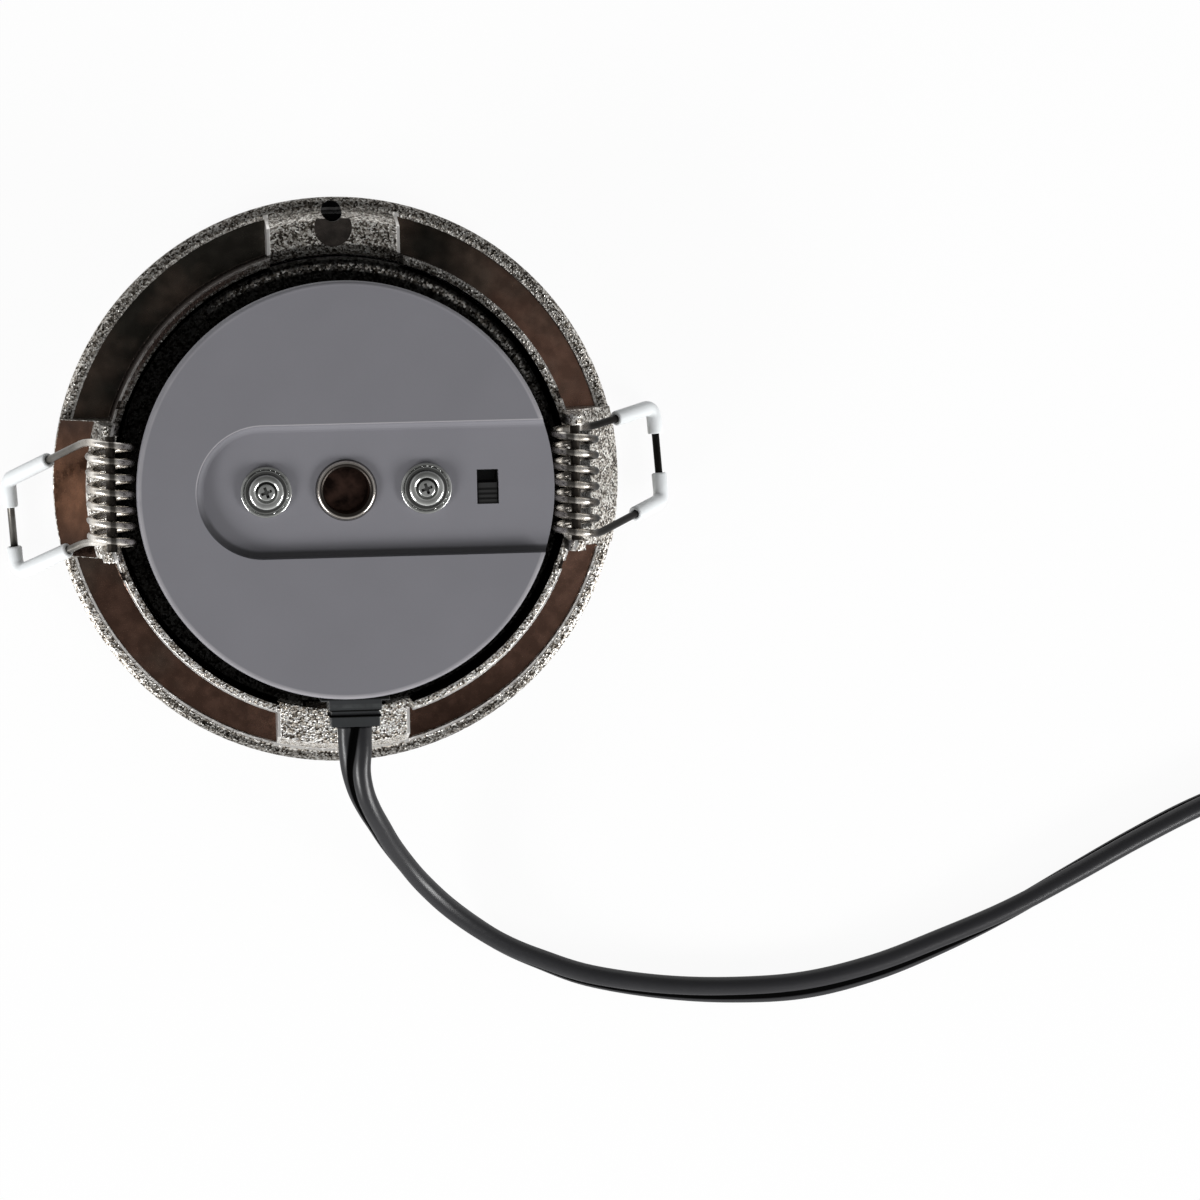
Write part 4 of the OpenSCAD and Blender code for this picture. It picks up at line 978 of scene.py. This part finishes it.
# Cross recess: height over the washer, half length and half width at its floor and above the head
CROSS = ((0.35, 0.5, 0.14), (1.2, 0.95, 0.24))
CROSS_TURNS = (20, 110)
SCREW_SHARP_ANGLE = 40


def arc_profile(r, z, radius, start, end, n):
    """Points of an arc in a profile, with its centre at (r, z), angles in degrees."""
    angles = [math.radians(start + (end - start) * i / n) for i in range(n + 1)]
    return [(r + radius * math.cos(a), z + radius * math.sin(a)) for a in angles]


def screw_head(x):
    """A head with a round rim, a dish inside it and a low button in the middle, on its shank."""
    rim = arc_profile(2.2, 0.65, 0.65, -20, 165, 12)
    button = arc_profile(1.05, 0.72, 0.35, 10, 90, 5) + [BUTTON_TOP]
    profile = [(r, SCREW_SEAT + z) for r, z in SHANK + rim + DISH + button]
    return lathe(profile, (x, 0))


def cross_arm(x, turn):
    """One arm of a cross recess, wider at its top."""
    c, s = math.cos(math.radians(turn)), math.sin(math.radians(turn))
    verts = []
    for z, half_length, half_width in CROSS:
        for along, side in ((1, 1), (-1, 1), (-1, -1), (1, -1)):
            u, v = along * half_length, side * half_width
            verts.append((x + u * c - v * s, u * s + v * c, SCREW_SEAT + z))
    return verts, [(3, 2, 1, 0), (4, 5, 6, 7), (0, 1, 5, 4), (1, 2, 6, 5), (2, 3, 7, 6), (3, 0, 4, 7)]


def cut(piece, cutter):
    """Takes a cutter out of a new piece and removes it."""
    step = piece.modifiers.new("cut", "BOOLEAN")
    step.operation = "DIFFERENCE"
    step.solver = "EXACT"
    step.object = cutter
    bpy.context.view_layer.objects.active = piece
    bpy.ops.object.modifier_apply(modifier=step.name)
    bpy.data.objects.remove(cutter)


def shade_by_angle(piece, angle):
    """Smooth shading, with edges sharper than the angle kept sharp."""
    for other in bpy.context.selected_objects:
        other.select_set(False)
    piece.select_set(True)
    bpy.context.view_layer.objects.active = piece
    bpy.ops.object.shade_smooth_by_angle(angle=math.radians(angle))


def make_screws():
    places = (-SCREW_X, SCREW_X)
    screws = join("screw_heads", [screw_head(x) for x in places])
    for x in places:
        for turn in CROSS_TURNS:
            cut(screws, mesh_object("cross_cutter", *cross_arm(x, turn), smooth=False))
    shade_by_angle(screws, SCREW_SHARP_ANGLE)
    place(screws, "head", "screw_steel", "cover_screws")


make_screws()

# Edges of the CAD nodes

# Width of the rounding of each node's edges
EDGES = {"trim_ring": 0.22, "rear_cover": 0.2, "cable_gland": 0.2, "centre_bush": 0.3, "screw_washers": 0.2,
         "switch_knob": 0.06, "heat_sink": 0.2, "gimbal_ring": 0.15}
for name, width in EDGES.items():
    soften(nodes[name], width)

# Floor, world and lamps

FLOOR_HALF, FLOOR_Z = 2500, -0.1
FLOOR_WHITE, FLOOR_ROUGH = 0.9, 0.9
# Share of plain white where the camera sees the floor, which keeps the rest for the object's shadow
FLOOR_GLOW = 0.94
# Grey of the room from straight below to overhead, and its factor from the near side to the far side
ROOM = [(0.0, 0.85), (0.3, 0.5), (0.7, 0.30), (1.0, 0.25)]
NEAR_FACTOR, FAR_FACTOR = 1.5, 0.5
LAMP_AT, LAMP_TARGET = (860, -580, 520), (0, 0, 10)
LAMP_SIZE, LAMP_WATTS = (600, 300), 9.0


def make_floor():
    """A white floor that keeps the object's shadow and is dark under the ring."""
    corners = [(-1, -1), (1, -1), (1, 1), (-1, 1)]
    floor = mesh_object("floor", [(x * FLOOR_HALF, y * FLOOR_HALF, FLOOR_Z) for x, y in corners], [(0, 1, 2, 3)],
                        smooth=False)
    mat = bpy.data.materials.new("floor_white")
    mat.use_nodes = True
    tree = mat.node_tree
    shader = tree.nodes["Principled BSDF"]
    put(tree, shader, "Base Color", opaque(FLOOR_WHITE))
    put(tree, shader, "Roughness", FLOOR_ROUGH)
    glow = add_node(tree, "Emission", Color=opaque(1))
    ray = add_node(tree, "LightPath").outputs
    here = add_node(tree, "TexCoord").outputs["Object"]
    out = add_node(tree, "VectorMath", {"operation": "LENGTH"}, i0=here).outputs["Value"]

    def calc(op, a, b):
        return add_node(tree, "Math", {"operation": op}, i0=a, i1=b).outputs[0]

    clear = calc("GREATER_THAN", out, (RING_R - 0.2) * MM)
    seen = calc("MAXIMUM", calc("MAXIMUM", ray["Is Camera Ray"], ray["Is Transmission Ray"]), ray["Is Glossy Ray"])
    share = calc("MULTIPLY", calc("MULTIPLY", seen, FLOOR_GLOW), clear)
    mix = add_node(tree, "MixShader", i0=share, i1=shader.outputs[0], i2=glow.outputs[0])
    put(tree, tree.nodes["Material Output"], "Surface", mix.outputs[0])
    floor.data.materials.append(mat)


def make_world():
    """A soft grey room, pale at the horizon, dim overhead and dimmer on the far side."""
    world = bpy.data.worlds.new("studio")
    world.use_nodes = True
    bpy.context.scene.world = world
    tree = world.node_tree
    way = add_node(tree, "SeparateXYZ", i0=add_node(tree, "TexCoord").outputs["Generated"])
    grey = add_ramp(tree, way.outputs[2], ROOM)
    side = add_node(tree, "MapRange", i0=way.outputs[1], i1=-1.0, i2=1.0, i3=NEAR_FACTOR, i4=FAR_FACTOR)
    lit = add_node(tree, "VectorMath", {"operation": "SCALE"}, i0=grey, i3=side.outputs[0])
    put(tree, tree.nodes["Background"], "Color", lit.outputs[0])


def lamp(name, side):
    """A soft box at one side, turned to the light."""
    data = bpy.data.lights.new(name, "AREA")
    data.shape = "RECTANGLE"
    data.size, data.size_y = LAMP_SIZE[0] * MM, LAMP_SIZE[1] * MM
    data.energy = LAMP_WATTS
    lit = bpy.data.objects.new(name, data)
    at = Vector((side * LAMP_AT[0] * MM, LAMP_AT[1] * MM, LAMP_AT[2] * MM))
    target = Vector(LAMP_TARGET) * MM
    lit.location = at
    lit.rotation_mode = "QUATERNION"
    lit.rotation_quaternion = (target - at).to_track_quat("-Z", "Y")
    bpy.context.scene.collection.objects.link(lit)


make_floor()
make_world()
lamp("left_box", -1)
lamp("right_box", 1)

bpy.context.scene.view_settings.view_transform = "Standard"
